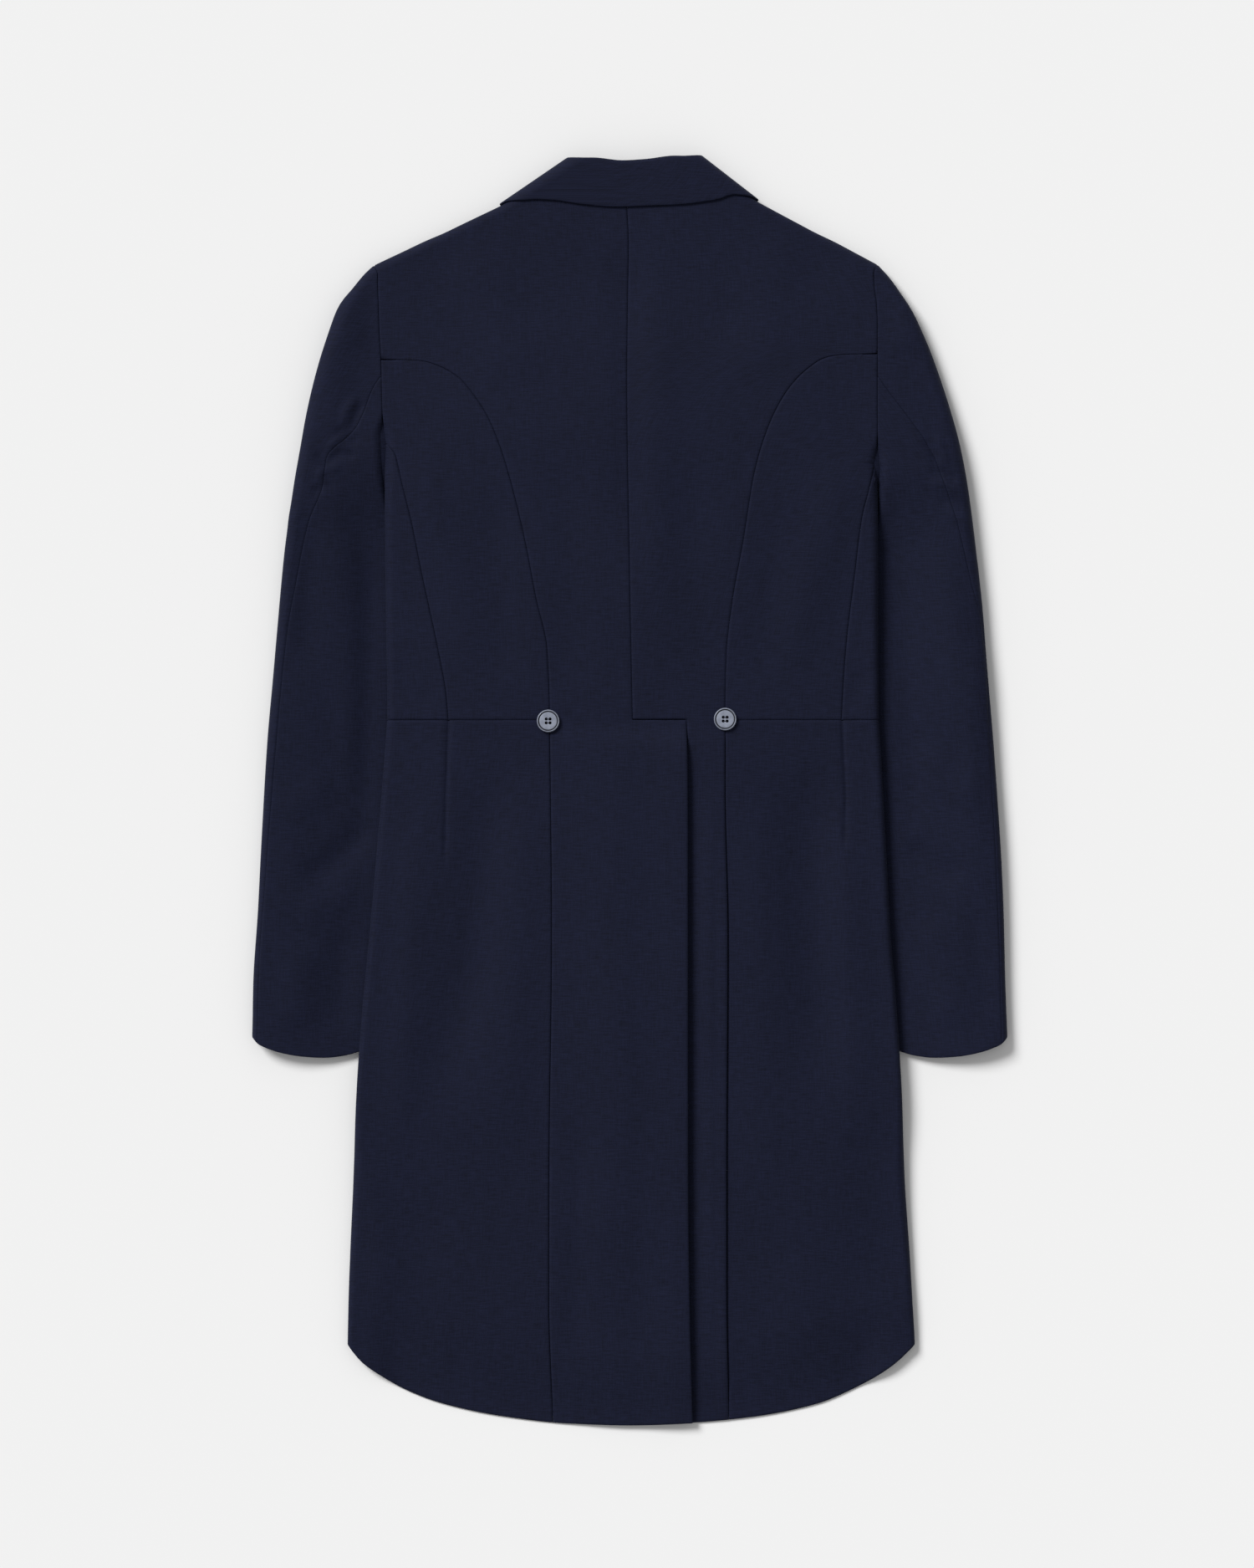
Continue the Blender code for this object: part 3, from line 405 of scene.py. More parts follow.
def sleeve_inner(side, y):
    """Distance of the centre of the sleeve's inner fold from the middle."""
    radius = inner_height(side, y) / 2
    if y >= PIT[side]:
        return read(ARMHOLE, NAMES[side], y) + HALF_SEAM + radius * math.sin(pit_angle(side, y))
    return read(SIDE_EDGE, NAMES[side], y) - tuck(side, y) + radius


def sleeve_top(x, y, side):
    """Height of the back of a sleeve at a distance x from the middle."""
    if y >= PIT[side]:
        low = read(HEIGHT, "side", y)
        start = read(ARMHOLE, NAMES[side], y)
    else:
        low = inner_height(side, y)
        start = max(sleeve_inner(side, y), read(SIDE_EDGE, NAMES[side], y) + 2)
    end = read(SLEEVE_EDGE, NAMES[side], y) - 12
    return mix(low, read(HEIGHT, "sleeve", y), smooth((x - start) / max(end - start, 1.0)))


def flat_ground(_x, _y):
    """Height of what lies on the floor."""
    return 0.0


# Creases placed one by one: plan line, height or depth at its middle, and half width.
# They run from x to the right of the middle, and fade towards both of their ends.

BODY_FOLDS = (
    (((-118, 40), (-124, -60), (-131, -140), (-150, -205), (-160, -290)), -3.9, 23),
    (((-92, 20), (-96, -90), (-100, -210), (-112, -330)), 1.5, 20),
    (((-176, 10), (-180, -90), (-188, -200), (-196, -330)), 1.5, 15),
    (((150, 40), (152, -60), (151, -150), (166, -250)), -4.4, 26),
    (((112, 10), (108, -110), (110, -240), (120, -400)), 1.5, 24),
    (((176, 20), (180, -90), (184, -200), (190, -320)), 1.9, 15),
    (((-12, 50), (-9, -80), (-6, -260), (-4, -450)), 2.6, 34),
    (((66, 40), (66, -120), (68, -320), (69, -480)), 1.2, 8),
    (((-2, 492), (-2, 400), (-1, 300), (0, 170)), -1.5, 13),
    (((22, 480), (24, 380), (22, 250), (18, 120)), 1.2, 18),
    (((-60, 300), (-52, 210), (-50, 130), (-56, 66)), -1.4, 20),
    (((60, 290), (52, 200), (56, 130), (60, 70)), -1.2, 20),
    (((-196, 478), (-150, 430), (-96, 396), (-60, 384)), -1.4, 26),
    (((188, 470), (140, 424), (92, 392), (50, 380)), -1.4, 26),
    (((-150, 452), (-120, 420), (-104, 380), (-98, 330)), 1.4, 26),
    (((150, 452), (120, 424), (104, 384), (98, 330)), 1.4, 26),
    (((-184, 300), (-166, 240), (-146, 170), (-132, 90)), 1.5, 17),
    (((186, 290), (166, 230), (146, 160), (134, 90)), 1.5, 18),
    (((-120, 260), (-112, 200), (-106, 140), (-104, 80)), -1.4, 18),
    (((124, 250), (118, 190), (112, 130), (112, 80)), -1.4, 18),
    (((-200, 110), (-184, 84), (-160, 70)), -1.0, 9),
    (((200, 104), (188, 84), (180, 68)), -0.8, 9),
    (((-222, -300), (-212, -370), (-206, -440)), 1.4, 13),
    (((196, -260), (205, -360), (208, -440)), -2.0, 22),
    (((-170, -330), (-176, -410), (-180, -480)), -1.5, 24),
    (((150, -300), (146, -400), (140, -490)), 1.4, 24),
    (((-40, -250), (-44, -380), (-48, -500)), -1.2, 12),
)

SLEEVE_FOLDS = (
    (((-240, 440), (-243, 390), (-250, 340), (-256, 270)), 3.0, 19),
    (((264, 210), (276, 130), (286, 30), (290, -90)), 1.6, 15),
    (((-268, 250), (-268, 180), (-272, 90)), -2.2, 11),
    (((-244, 262), (-240, 180), (-236, 60), (-232, -20)), 1.5, 12),
    (((-216, 230), (-218, 120), (-222, 0), (-226, -60)), -1.7, 9),
    (((-214, -22), (-232, -44), (-256, -66), (-282, -74)), -2.5, 11),
    (((-226, -80), (-252, -96), (-280, -100)), 1.7, 13),
    (((-250, 20), (-268, -6), (-290, -20)), 1.4, 14),
    (((-238, -110), (-242, -160), (-246, -206)), -1.9, 14),
    (((-270, -120), (-278, -160), (-282, -206)), 1.9, 15),
    (((-296, 240), (-291, 236), (-278, 222)), 0.7, 8),
    (((254, 236), (262, 170), (268, 90), (270, 10)), 1.5, 13),
    (((226, 220), (230, 120), (236, 20), (238, -60)), -1.7, 11),
    (((290, 130), (286, 60), (288, -30)), 1.4, 10),
    (((232, -40), (254, -64), (282, -74)), -2.2, 12),
    (((246, -100), (262, -150), (272, -206)), 1.9, 15),
    (((286, -96), (294, -150), (298, -200)), -1.5, 10),
    (((244, 40), (262, 8), (292, -10)), 1.2, 13),
    (((-246, 420), (-236, 396), (-230, 366)), 1.2, 12),
    (((240, 416), (232, 392), (226, 362)), 1.2, 12),
)

# Puckers where the hind-arm seam pulls, on the left and the right sleeve
PUCKERS = (
    (((-222, 326), (-229, 312), (-231, 300)), -1.5, 3.4),
    (((-228, 330), (-237, 316), (-240, 302)), 1.3, 3.6),
    (((-246, 304), (-237, 294), (-226, 288)), -1.5, 3.2),
    (((-236, 298), (-246, 292), (-252, 284)), 1.2, 3.2),
    (((-226, 280), (-242, 281), (-254, 274)), -1.5, 3.4),
    (((-264, 284), (-255, 272), (-250, 258)), -1.4, 3.4),
    (((-240, 270), (-252, 268), (-264, 262)), 1.4, 3.6),
    (((-244, 256), (-256, 254), (-268, 246)), -1.1, 3.8),
    (((244, 294), (252, 284), (256, 270)), -1.4, 3.4),
    (((254, 298), (262, 284), (266, 270)), 1.2, 3.6),
    (((248, 268), (262, 266), (276, 258)), -1.4, 3.4),
    (((248, 256), (264, 256), (276, 248)), 1.3, 3.6),
    (((256, 242), (270, 242), (282, 234)), -1.2, 3.4),
    (((262, 232), (274, 228), (284, 218)), 1.0, 3.6),
)

UNDER_FOLDS = (
    (((-30, 84), (-90, 110), (-150, 150)), 1.2, 14),
    (((-40, 66), (-100, 40), (-160, 30)), 1.0, 13),
    (((30, 84), (90, 114), (156, 160)), 1.2, 14),
    (((40, 64), (104, 40), (164, 24)), 1.0, 13),
    (((-150, -40), (-170, -160), (-190, -300)), 1.3, 14),
    (((-120, -20), (-140, -110), (-176, -220)), 1.0, 12),
    (((150, -40), (172, -170), (192, -310)), 1.3, 14),
    (((122, -24), (144, -120), (178, -230)), 1.0, 12),
    (((-60, 420), (-110, 380), (-160, 350)), 1.0, 16),
    (((64, 424), (112, 386), (160, 352)), 1.0, 16),
    (((-252, 240), (-262, 120), (-272, 0)), 0.9, 10),
    (((-240, -20), (-262, -60), (-288, -84)), 1.0, 10),
    (((250, 240), (264, 120), (274, 0)), 0.9, 10),
    (((244, -30), (264, -66), (290, -90)), 1.0, 10),
)


SWELL_HEIGHT = 1.8
FADE = 0.25


def line_distance(x, y, points):
    """Distance of every place from a plan line, and how far along the line it lies."""
    runs = [math.dist(a, b) for a, b in zip(points, points[1:])]
    best = np.full(x.shape, 1e9)
    along = np.zeros(x.shape)
    done = 0.0
    for (ax, ay), (bx, by), run in zip(points, points[1:], runs):
        share = ((x - ax) * (bx - ax) + (y - ay) * (by - ay)) / run ** 2
        held = np.clip(share, 0.0, 1.0)
        distance = np.hypot(x - mix(ax, bx, held), y - mix(ay, by, held))
        nearer = distance < best
        best = np.where(nearer, distance, best)
        along = np.where(nearer, (done + held * run) / sum(runs), along)
        done += run
    return best, along


def crease_height(x, y, folds):
    """Total height of a set of creases at plan places."""
    total = np.zeros(x.shape)
    for points, height, width in folds:
        distance, along = line_distance(x, y, points)
        ends = ramp_all(along, 0, FADE) * ramp_all(along, 1, 1 - FADE)
        total += height * np.exp(-(distance / width) ** 2) * ends
    return total


def swell(x, y):
    """Slow unevenness of cloth that has been laid down by hand."""
    waves = ((0.031, 0.011, 0.4, 0.16), (-0.014, 0.037, 1.9, 0.14), (0.052, -0.021, 3.1, 0.09),
             (0.019, 0.058, 4.4, 0.08), (-0.067, -0.041, 5.2, 0.05), (0.083, 0.024, 0.9, 0.04))
    total = np.zeros(x.shape)
    for across, down, start, size in waves:
        total += SWELL_HEIGHT * size * np.sin(across * x + down * y + start)
    return total


# Lines that neighbouring pieces share

FOLD_MARGIN = 3.5
CREASE_INSETS = (10.0, 9.2)
SHOULDER_TURN = 0.25


def wrap_row(start, axis, outward, radius, end, top, bottom, counts, path=None):
    """One row of a piece that runs over the top, round a fold and back beneath."""
    high = top(*axis)
    low = bottom(*axis)
    lead = math.dist(start, axis)
    tail = math.dist(end, axis)
    half_turn = math.pi * radius

    def beyond(point):
        return (point[0] - axis[0]) * outward[0] + (point[1] - axis[1]) * outward[1]

    def place(run):
        if run < 0:
            share = -run / lead
            plan = path(share) if path else mix_points(axis, start, share)
            return (*plan, top(*plan))
        if run <= half_turn:
            angle = run / radius
            plan = moved(axis, outward, radius * math.sin(angle))
            return (*plan, (high + low) / 2 + (high - low) / 2 * math.cos(angle))
        plan = mix_points(axis, end, (run - half_turn) / tail)
        return (*plan, bottom(*plan))

    first = -lead
    if beyond(start) > 0:
        first = radius * math.asin(min(beyond(start) / radius, 1.0))
    last = half_turn + tail
    if beyond(end) > 0:
        last = half_turn - radius * math.asin(min(beyond(end) / radius, 1.0))
    fold_start = max(0.0, first + FOLD_MARGIN)
    fold_end = min(half_turn, last - FOLD_MARGIN)
    runs = seam_spread(first, fold_start, counts[0], close_last=False)[:-1]
    runs += spread(fold_start, fold_end, counts[1])[:-1]
    runs += seam_spread(fold_end, last, counts[2], close_first=False)
    return [place(run) for run in runs]


def crease_axis(side):
    """Centre line of the turned edge beside the collar: its top, its neck point and its end."""
    top, end = CREASE_TOP[side], CREASE_END[side]
    run = unit(end[0] - top[0], end[1] - top[1])
    outward = (-run[1], run[0])
    top_axis = moved(top, outward, -CREASE_INSETS[0])
    end_axis = moved(end, outward, -CREASE_INSETS[1])
    return top_axis, mix_points(top_axis, end_axis, NECK_SHARE), end_axis, outward


def shoulder_axis(side):
    """Centre line of the shoulder fold from the neck to the armhole, with outward directions."""
    neck, end, outward = crease_axis(side)[1:]
    point = SHOULDER_POINT[side]
    run = unit(point[0] - CREASE_END[side][0], point[1] - CREASE_END[side][1])
    slope_out = (-run[1], run[0])
    radius = read(HEIGHT, "side", 440) / 2
    last = moved(point, slope_out, -radius)
    neck = moved(neck, run, HALF_SEAM)
    return neck, end, last, outward, slope_out


def shoulder_line(side, shares):
    """Points and outward directions along the shoulder fold, from the neck outwards."""
    neck, turn, last, outward, slope_out = shoulder_axis(side)
    result = []
    for share in shares:
        if share < SHOULDER_TURN:
            point = mix_points(neck, turn, share / SHOULDER_TURN)
        else:
            point = mix_points(turn, last, (share - SHOULDER_TURN) / (1 - SHOULDER_TURN))
        direction = unit(*mix_points(outward, slope_out, ramp(share, 0, 0.4)))
        result.append((point, direction))
    return result


def neck_line(x, side):
    """The neck seam across the back."""
    neck = crease_axis(side)[1]
    return mix(BACK_NECK, neck[1], (x / neck[0]) ** 2)


def tail_row_y(share, x):
    """Height in plan of a row of the skirts and tails, between the waist seam and the hem."""
    return mix(WAIST - HALF_SEAM, read(HEM, "y", x), share)


def shoulder_roll(side, line, angle):
    """The row of the shoulder fold at this angle from straight up."""
    row = []
    turn = math.radians(angle)
    for (x, y), outward in line:
        high = body_top(x, y, side)
        low = body_bottom(x, y, side)
        plan = moved((x, y), outward, (high - low) / 2 * math.sin(turn))
        row.append((*plan, (high + low) / 2 + (high - low) / 2 * math.cos(turn)))
    return row


# Backs

BACK_ROLL_ANGLES = (105, 101.6, 97.4, 91.3, 82, 70, 56, 42, 28, 14)
TAIL_LENGTH = 585.0
TAIL_SHARES = seam_shares(TAIL_LENGTH, steps_for(TAIL_LENGTH))
BACK_WIDTHS = seam_shares(160.0, 30)
BACK_MIDDLES = seam_shares(80.0, 18, close_first=False)[1:]
BACK_UPPER = [1 - share for share in seam_shares(75.0, 17, close_last=False)][:-1]
FLAP_COLUMNS = 15
TAIL_START = 0.9
ARM_ROW_CENTRE = 381
LAST_STATION = 12.0


def side_body_stations():
    """Stations from the armhole to the waist, close enough to follow the curve."""
    counts = (7, 4, 5, 5, 5, 5, 7, 13, 11, 10, 11, 3)
    stations = [0.0]
    for i, count in enumerate(counts):
        stations += spread(i, i + 1, count)[1:]
    return stations[:-1] + [11.77, 11.86, 11.93, 11.97, LAST_STATION]


def seam_place(side, station):
    """A place on the side-body seam and the direction square to it."""
    name = NAMES[side]

    def at(key):
        key = min(max(key, 0.0), LAST_STATION)
        return (read(SIDE_BODY, name + "_x", key), read(SIDE_BODY, name + "_y", key))

    before = at(station - 0.12)
    after = at(station + 0.12)
    run = unit(after[0] - before[0], after[1] - before[1])
    return at(station), (-run[1], run[0])


def back_upper_guide(side, share):
    """Outer edge, neck column and centre of a row above the side-body."""
    point = seam_place(side, 0.0)[0]
    neck = shoulder_line(side, (0.0,))[0][0]
    top = shoulder_line(side, (1.0,))[0][0]
    y = mix(point[1] + HALF_SEAM, top[1], share)
    edge = read(ARMHOLE, NAMES[side], y) - HALF_SEAM
    x = mix(edge, top[0], ramp(share, 0.6, 1))
    column_y = mix(ARM_ROW_CENTRE, point[1], neck[0] / point[0])
    centre_y = mix(ARM_ROW_CENTRE, BACK_NECK - HALF_SEAM, share)
    return (x, y), (neck[0], mix(column_y, neck[1], share)), centre_y


def back_lower_guide(side, station):
    """Outer edge, neck column and centre of a row beside the side-body."""
    neck = shoulder_line(side, (0.0,))[0][0]
    point, across = seam_place(side, station)
    point = moved(point, across, -HALF_SEAM)
    centre_y = read(SIDE_BODY, "centre_y", station)
    below = ARM_ROW_CENTRE - centre_y
    share = mix(0.35, 0.6, ramp(below, 0, 200))
    column = mix_points((0, centre_y), point, share)
    wide = (neck[0], mix(centre_y, point[1], neck[0] / point[0]))
    return point, mix_points(wide, column, ramp(below, 0, 60)), centre_y


def back_row(side, guide, line, keep, top_guide):
    """Plan places along one row, bent towards the shoulder and neck lines by the share keep."""
    outer, column, centre_y = guide
    row = []
    for share, (point, _) in zip(BACK_WIDTHS, line):
        x, y = mix_points(outer, column, share)
        flat = mix_points(top_guide[0], top_guide[1], share)
        row.append((x + (point[0] - flat[0]) * keep, y + (point[1] - flat[1]) * keep))
    centre_x = side * read(CENTRE, "x", centre_y) + HALF_SEAM
    top_x = side * read(CENTRE, "x", CENTRE_TOP) + HALF_SEAM
    for share in BACK_MIDDLES:
        x = mix(column[0], centre_x, share)
        y = mix(column[1], centre_y, smooth(share))
        flat_x = mix(top_guide[1][0], top_x, share)
        flat_y = mix(top_guide[1][1], top_guide[2], smooth(share))
        row.append((x, y + (neck_line(abs(flat_x), side) - HALF_SEAM - flat_y) * keep))
    return row


def back_grid(side):
    """The back from the shoulder to the hem; the left one has the vent flap."""
    line = shoulder_line(side, [1 - share for share in BACK_WIDTHS])
    flap = [None] * FLAP_COLUMNS

    def place(x, y):
        height = body_top(abs(x), y, side)
        if side == LEFT:
            height += flap_lift(x, y)
        return (x, y, height)

    grid = []
    for angle in BACK_ROLL_ANGLES:
        row = [(x * side, y, z) for x, y, z in shoulder_roll(side, line, angle)]
        grid.append(row + [None] * len(BACK_MIDDLES) + flap)
    top_guide = back_upper_guide(side, 1.0)
    rows = [(back_upper_guide(side, share), ramp(share, 0.4, 1)) for share in BACK_UPPER]
    rows += [(back_lower_guide(side, station), 0.0) for station in side_body_stations()]
    for guide, keep in rows:
        row = back_row(side, guide, line, keep, top_guide)
        grid.append([place(side * x, y) for x, y in row] + flap)
    waist_row = [point for point in grid.pop() if point]
    tail_x = read(CENTRE, "x", WAIST) + (-HALF_SEAM if side == LEFT else TAIL_START)
    for share in TAIL_SHARES:
        outer = side * (read(TAIL_SEAM, NAMES[side], tail_row_y(share, side * 67)) - HALF_SEAM)
        row = []
        for point in waist_row:
            part = (point[0] - waist_row[0][0]) / (waist_row[-1][0] - waist_row[0][0])
            x = mix(outer, tail_x, part)
            row.append(place(x, tail_row_y(share, x)))
        if side == LEFT:
            edge = read(TAIL_SEAM, "vent", tail_row_y(share, 48))
            for x in seam_spread(tail_x, edge, FLAP_COLUMNS - 4, close_first=False)[1:]:
                row.append(place(x, tail_row_y(share, x)))
        grid.append(row + [None] * (len(grid[0]) - len(row)))
    return grid


# Side-bodies, foreparts and skirts

def fold_height(side, x, y):
    """Height of the top face, rounded off where it nears the side fold."""
    radius = body_radius(side, y)
    centre = read(SIDE_EDGE, NAMES[side], y) - radius
    if x <= centre:
        return body_top(x, y, side)
    high = body_top(centre, y, side)
    low = body_bottom(centre, y, side)
    turn = math.asin(min((x - centre) / radius, 1.0))
    return (high + low) / 2 + (high - low) / 2 * math.cos(turn)


def side_fold(side, y):
    """Centre and radius of the fold at the side of the body."""
    radius = body_radius(side, y)
    return (read(SIDE_EDGE, NAMES[side], y) - radius, y), radius


ROLL_INSETS = SEAM_STEPS + (4.6, 6.4, 8.4, 10.4, 12.0)
ROLL_PARTS = [1 - inset / ROLL_INSETS[-1] for inset in ROLL_INSETS]
SIDE_BODY_SHARES = seam_shares(70.0, 16, close_first=False)[1:]


def side_body_grid(side):
    """Between the back and the forepart, from the armhole to the waist."""
    name = NAMES[side]
    grid = []
    for station in side_body_stations():
        (x, seam_y), across = seam_place(side, station)
        x, seam_y = moved((x, seam_y), across, HALF_SEAM)
        y = max(read(SIDE_BODY, "side_" + name, station), WAIST + HALF_SEAM)
        seam_y = max(seam_y, WAIST + HALF_SEAM)
        y -= 0.4 * (1 - ramp(station, 0, 0.8))
        edge = read(ARMHOLE, name, y) - HALF_SEAM
        seam = read(SIDE_SEAM, name, y) - HALF_SEAM
        radius = read(HEIGHT, "side", y) / 2
        rolled = rolled_edge(radius, pit_angle(side, y), ROLL_PARTS, ROLL_INSETS[-1])
        above = ramp(y, PIT[side] - 1, PIT[side] + 4)
        row = []
        for step, (inset, drop) in zip(ROLL_INSETS, rolled):
            low = (seam - step, y, fold_height(side, seam - step, y))
            high = (edge - inset, y, body_top(edge - inset, y, side) - drop)
            row.append(tuple(mix(a, b, above) for a, b in zip(low, high)))
        flat = row[-1][0]
        x = min(x, flat - 2)
        for share in SIDE_BODY_SHARES:
            plan = mix_points((flat, y), (x, seam_y), share)
            row.append((*plan, body_top(*plan, side)))
        grid.append(row)
    return grid


def front_bottom(side):
    """The height function of the under face for one front."""
    def height(x, y):
        lift = right_front_lift(x, y) if side == RIGHT else 0.0
        return body_bottom(abs(x), y, side) + lift

    return height


# Counts of steps before, round and after the side fold
FRONT_COUNTS = (9, 12, 46)
FRONT_ROLL = 6
PIT_MARGIN = 3
ROLL_LINE_TOP = 451.5
ROLL_LINE_SHARE = 0.55
FRONT_ROLL_ANGLES = (170, 160, 150, 141, 132.5, 123.2, 117.1, 112.9, 109.5)


def front_inner_edge(side, share, neck):
    """Inner end of a row above the armpit: the roll line, then the gorge up to the neck."""
    if share <= ROLL_LINE_SHARE:
        y = mix(PIT[side] + PIT_MARGIN, ROLL_LINE_TOP, share / ROLL_LINE_SHARE)
        return (read(FRONT_EDGE, "x", y), y)
    part = (share - ROLL_LINE_SHARE) / (1 - ROLL_LINE_SHARE)
    corner = (GORGE_NECK[0] + 1, GORGE_NECK[1] - 1)
    if part < 0.4:
        roll_top = (read(FRONT_EDGE, "x", ROLL_LINE_TOP), ROLL_LINE_TOP)
        return mix_points(roll_top, corner, part / 0.4)
    return mix_points(corner, neck, (part - 0.4) / 0.6)


def front_upper_row(side, share, top_y, neck):
    """Plan places and heights of a row from the armhole to the inner edge."""
    y = mix(PIT[side] + PIT_MARGIN, top_y, share)
    edge = read(ARMHOLE, NAMES[side], y) - HALF_SEAM
    top_x = shoulder_line(side, (1.0,))[0][0][0]
    edge = mix(edge, top_x, ramp(share, 0.6, 1))
    radius = read(HEIGHT, "side", y) / 2
    parts = [1 - i / FRONT_ROLL for i in range(FRONT_ROLL + 1)]
    rolled = rolled_edge(radius, pit_angle(side, y), parts)
    row = [(edge - inset, y, drop) for inset, drop in rolled[:FRONT_ROLL]]
    axis = (edge - rolled[-1][0], y)
    near = front_inner_edge(side, share, neck)
    length = math.dist(axis, near)
    for part in seam_shares(length, FRONT_COUNTS[2], close_first=False):
        row.append((*mix_points(axis, near, part), 0.0))
    return row


def front_grid(side):
    """The forepart: side seam, side fold, chest beneath, armhole, and the shoulder fold."""
    name = NAMES[side]
    bottom = front_bottom(side)
    grid = []
    last_y = read(SIDE_BODY, "side_" + name, 6.0)
    for y in seam_spread(WAIST + HALF_SEAM, last_y, steps_for(last_y - WAIST)):
        start = (read(SIDE_SEAM, name, y) + HALF_SEAM, y)
        axis, radius = side_fold(side, y)
        end = (read(FRONT_EDGE, "x", y), y)
        grid.append(wrap_row(start, axis, (1, 0), radius, end,
                             lambda x, v: body_top(x, v, side), bottom, FRONT_COUNTS))
    lower = len(grid)
    neck, _, outer, _, _ = shoulder_axis(side)
    blank = FRONT_COUNTS[0] + 4 + FRONT_COUNTS[1] - FRONT_ROLL
    top_row = front_upper_row(side, 1.0, outer[1], neck)
    width = top_row[0][0] - top_row[-1][0]
    line = shoulder_line(side, [1 - (top_row[0][0] - point[0]) / width for point in top_row])
    for share in seam_shares(148.0, 34, close_first=False):
        keep = ramp(share, 0.35, 1)
        flat_row = front_upper_row(side, share, outer[1], neck)
        row = []
        for point, flat, (bent, _) in zip(flat_row, top_row, line):
            x = point[0] + (bent[0] - flat[0]) * keep
            y = point[1] + (bent[1] - flat[1]) * keep
            row.append((x, y, bottom(x, y) + point[2]))
        grid.append([None] * blank + row)
    for angle in FRONT_ROLL_ANGLES:
        grid.append([None] * blank + shoulder_roll(side, line, angle))
    open_cells = [(i, j) for i in range(lower - 1, len(grid) - 1) for j in range(blank)]
    return grid, open_cells


SKIRT_COUNTS = (38, 12, 40)
SKIRT_UNDER = SKIRT_COUNTS[0] + 4 + SKIRT_COUNTS[1]
DART_PULL = 0.78
DART_SPREAD = 9


def skirt_grid(side):
    """The skirt: tail seam, side fold and the cut-away front edge beneath."""
    name = NAMES[side]
    grid = []
    for share in TAIL_SHARES:
        fold_y = mix(WAIST - HALF_SEAM, HEM_CORNER, share)
        seam_y = tail_row_y(share, side * 70)
        start = (read(TAIL_SEAM, name, seam_y) + HALF_SEAM, seam_y)
        axis, radius = side_fold(side, fold_y)
        end = (read(FRONT_EDGE, "x", fold_y), fold_y)
        dart = read(DART, name, fold_y)

        def path(part, start=start, axis=axis, share=share, dart=dart):
            x = mix(axis[0], start[0], part)
            x -= DART_PULL * (x - dart) * math.exp(-((x - dart) / DART_SPREAD) ** 2)
            return (x, tail_row_y(share, side * x))

        row = wrap_row(start, axis, (1, 0), radius, end, lambda x, y: body_top(x, y, side),
                       front_bottom(side), SKIRT_COUNTS, path)
        for i, (x, _, z) in enumerate(row):
            bent = tail_row_y(share, side * x)
            inward = ramp(x, axis[0], axis[0] - 45) if i > SKIRT_UNDER else 0.0
            row[i] = (x, mix(bent, fold_y, inward), z)
        grid.append(row)
    return grid


# Sleeves

# Rows of the sleeve head: height in plan of the fold, and the share of the way down the armhole
HEAD = Table(
    "step y share",
    (0, 439, 0.0), (1, 434, 0.05), (2, 427, 0.12), (3, 415, 0.24), (4, 400, 0.38), (5, 383, 0.56),
    (6, 366, 0.78), (7, 350.5, 1.0))
HEAD_STEPS = (0, 0.09, 0.2, 0.36, 0.6, 0.8, 1, 1.25, 1.5, 1.75, 2, 2.33, 2.67, 3, 3.33, 3.67, 4,
              4.33, 4.67, 5, 5.25, 5.5, 5.75, 6, 6.25, 6.5, 6.75, 7)
TOP_SLEEVE_COUNTS = (18, 14, 18)
CUFF_START = -150.0
CUFF_LENGTH = 68.0
CUFF_PARTS = seam_shares(CUFF_LENGTH, 13, close_first=False)[1:]
ARM_STEP = 2.8
ARM_STEP_BELOW = 5.0
ARM_PIT_RUN = 48


def arm_levels(side):
    """Row levels that both pieces of a sleeve share, down to where the cuff begins."""
    pit = PIT[side] + 1
    low = pit - ARM_PIT_RUN
    levels = spread(HORN_TIP, pit, steps_for(HORN_TIP - pit, ARM_STEP))
    below = spread(pit, low, steps_for(ARM_PIT_RUN, ARM_STEP))
    below += spread(low, CUFF_START, steps_for(low - CUFF_START, ARM_STEP_BELOW))[1:]
    return levels + below[1:], len(levels) - 1


def sleeve_levels(side):
    """The shared levels with the rows of the cuff after them, each with its share of the cuff."""
    levels = [(level, 0.0) for level in arm_levels(side)[0]]
    return levels + [(mix(CUFF_START, CUFF_CORNER, part), part) for part in CUFF_PARTS]


def cuff_place(x, part):
    """Height in plan of a place near the cuff, where rows bend to follow its edge."""
    return mix(CUFF_START, read(CUFF_EDGE, "y", x), part)


def head_station(side, step):
    """A row of the sleeve head: inner end, fold centre, outward and radius."""
    name = NAMES[side]
    slope_out = shoulder_axis(side)[4]
    last = shoulder_axis(side)[2]
    y = read(HEAD, "y", step)
    share = read(HEAD, "share", step)
    high = (read(SLEEVE_EDGE, name, y + 9), y + 9)
    low = (read(SLEEVE_EDGE, name, y - 9), y - 9)
    run = unit(high[0] - low[0], high[1] - low[1])
    outward = unit(*mix_points(slope_out, (run[1], -run[0]), ramp(share, 0, 0.12)))
    radius = read(HEIGHT, "sleeve", y) / 2
    axis = moved((read(SLEEVE_EDGE, name, y), y), outward, -radius)
    first_axis = moved(last, (1, 0), 3 * SEAM)
    begin = 1 - min(step, 1.0)
    axis = mix_points(axis, first_axis, begin)
    radius = mix(radius, read(HEIGHT, "side", 440) / 2, begin)
    inner_y = mix(mix(last[1] - 3, first_axis[1] - 3, begin), HIND_TOP, share)
    inner_x = read(ARMHOLE, name, inner_y) + HALF_SEAM
    inner = (mix(last[0] + 3 * SEAM, inner_x, ramp(share, 0, 0.3)), inner_y)
    return inner, axis, outward, radius, inner


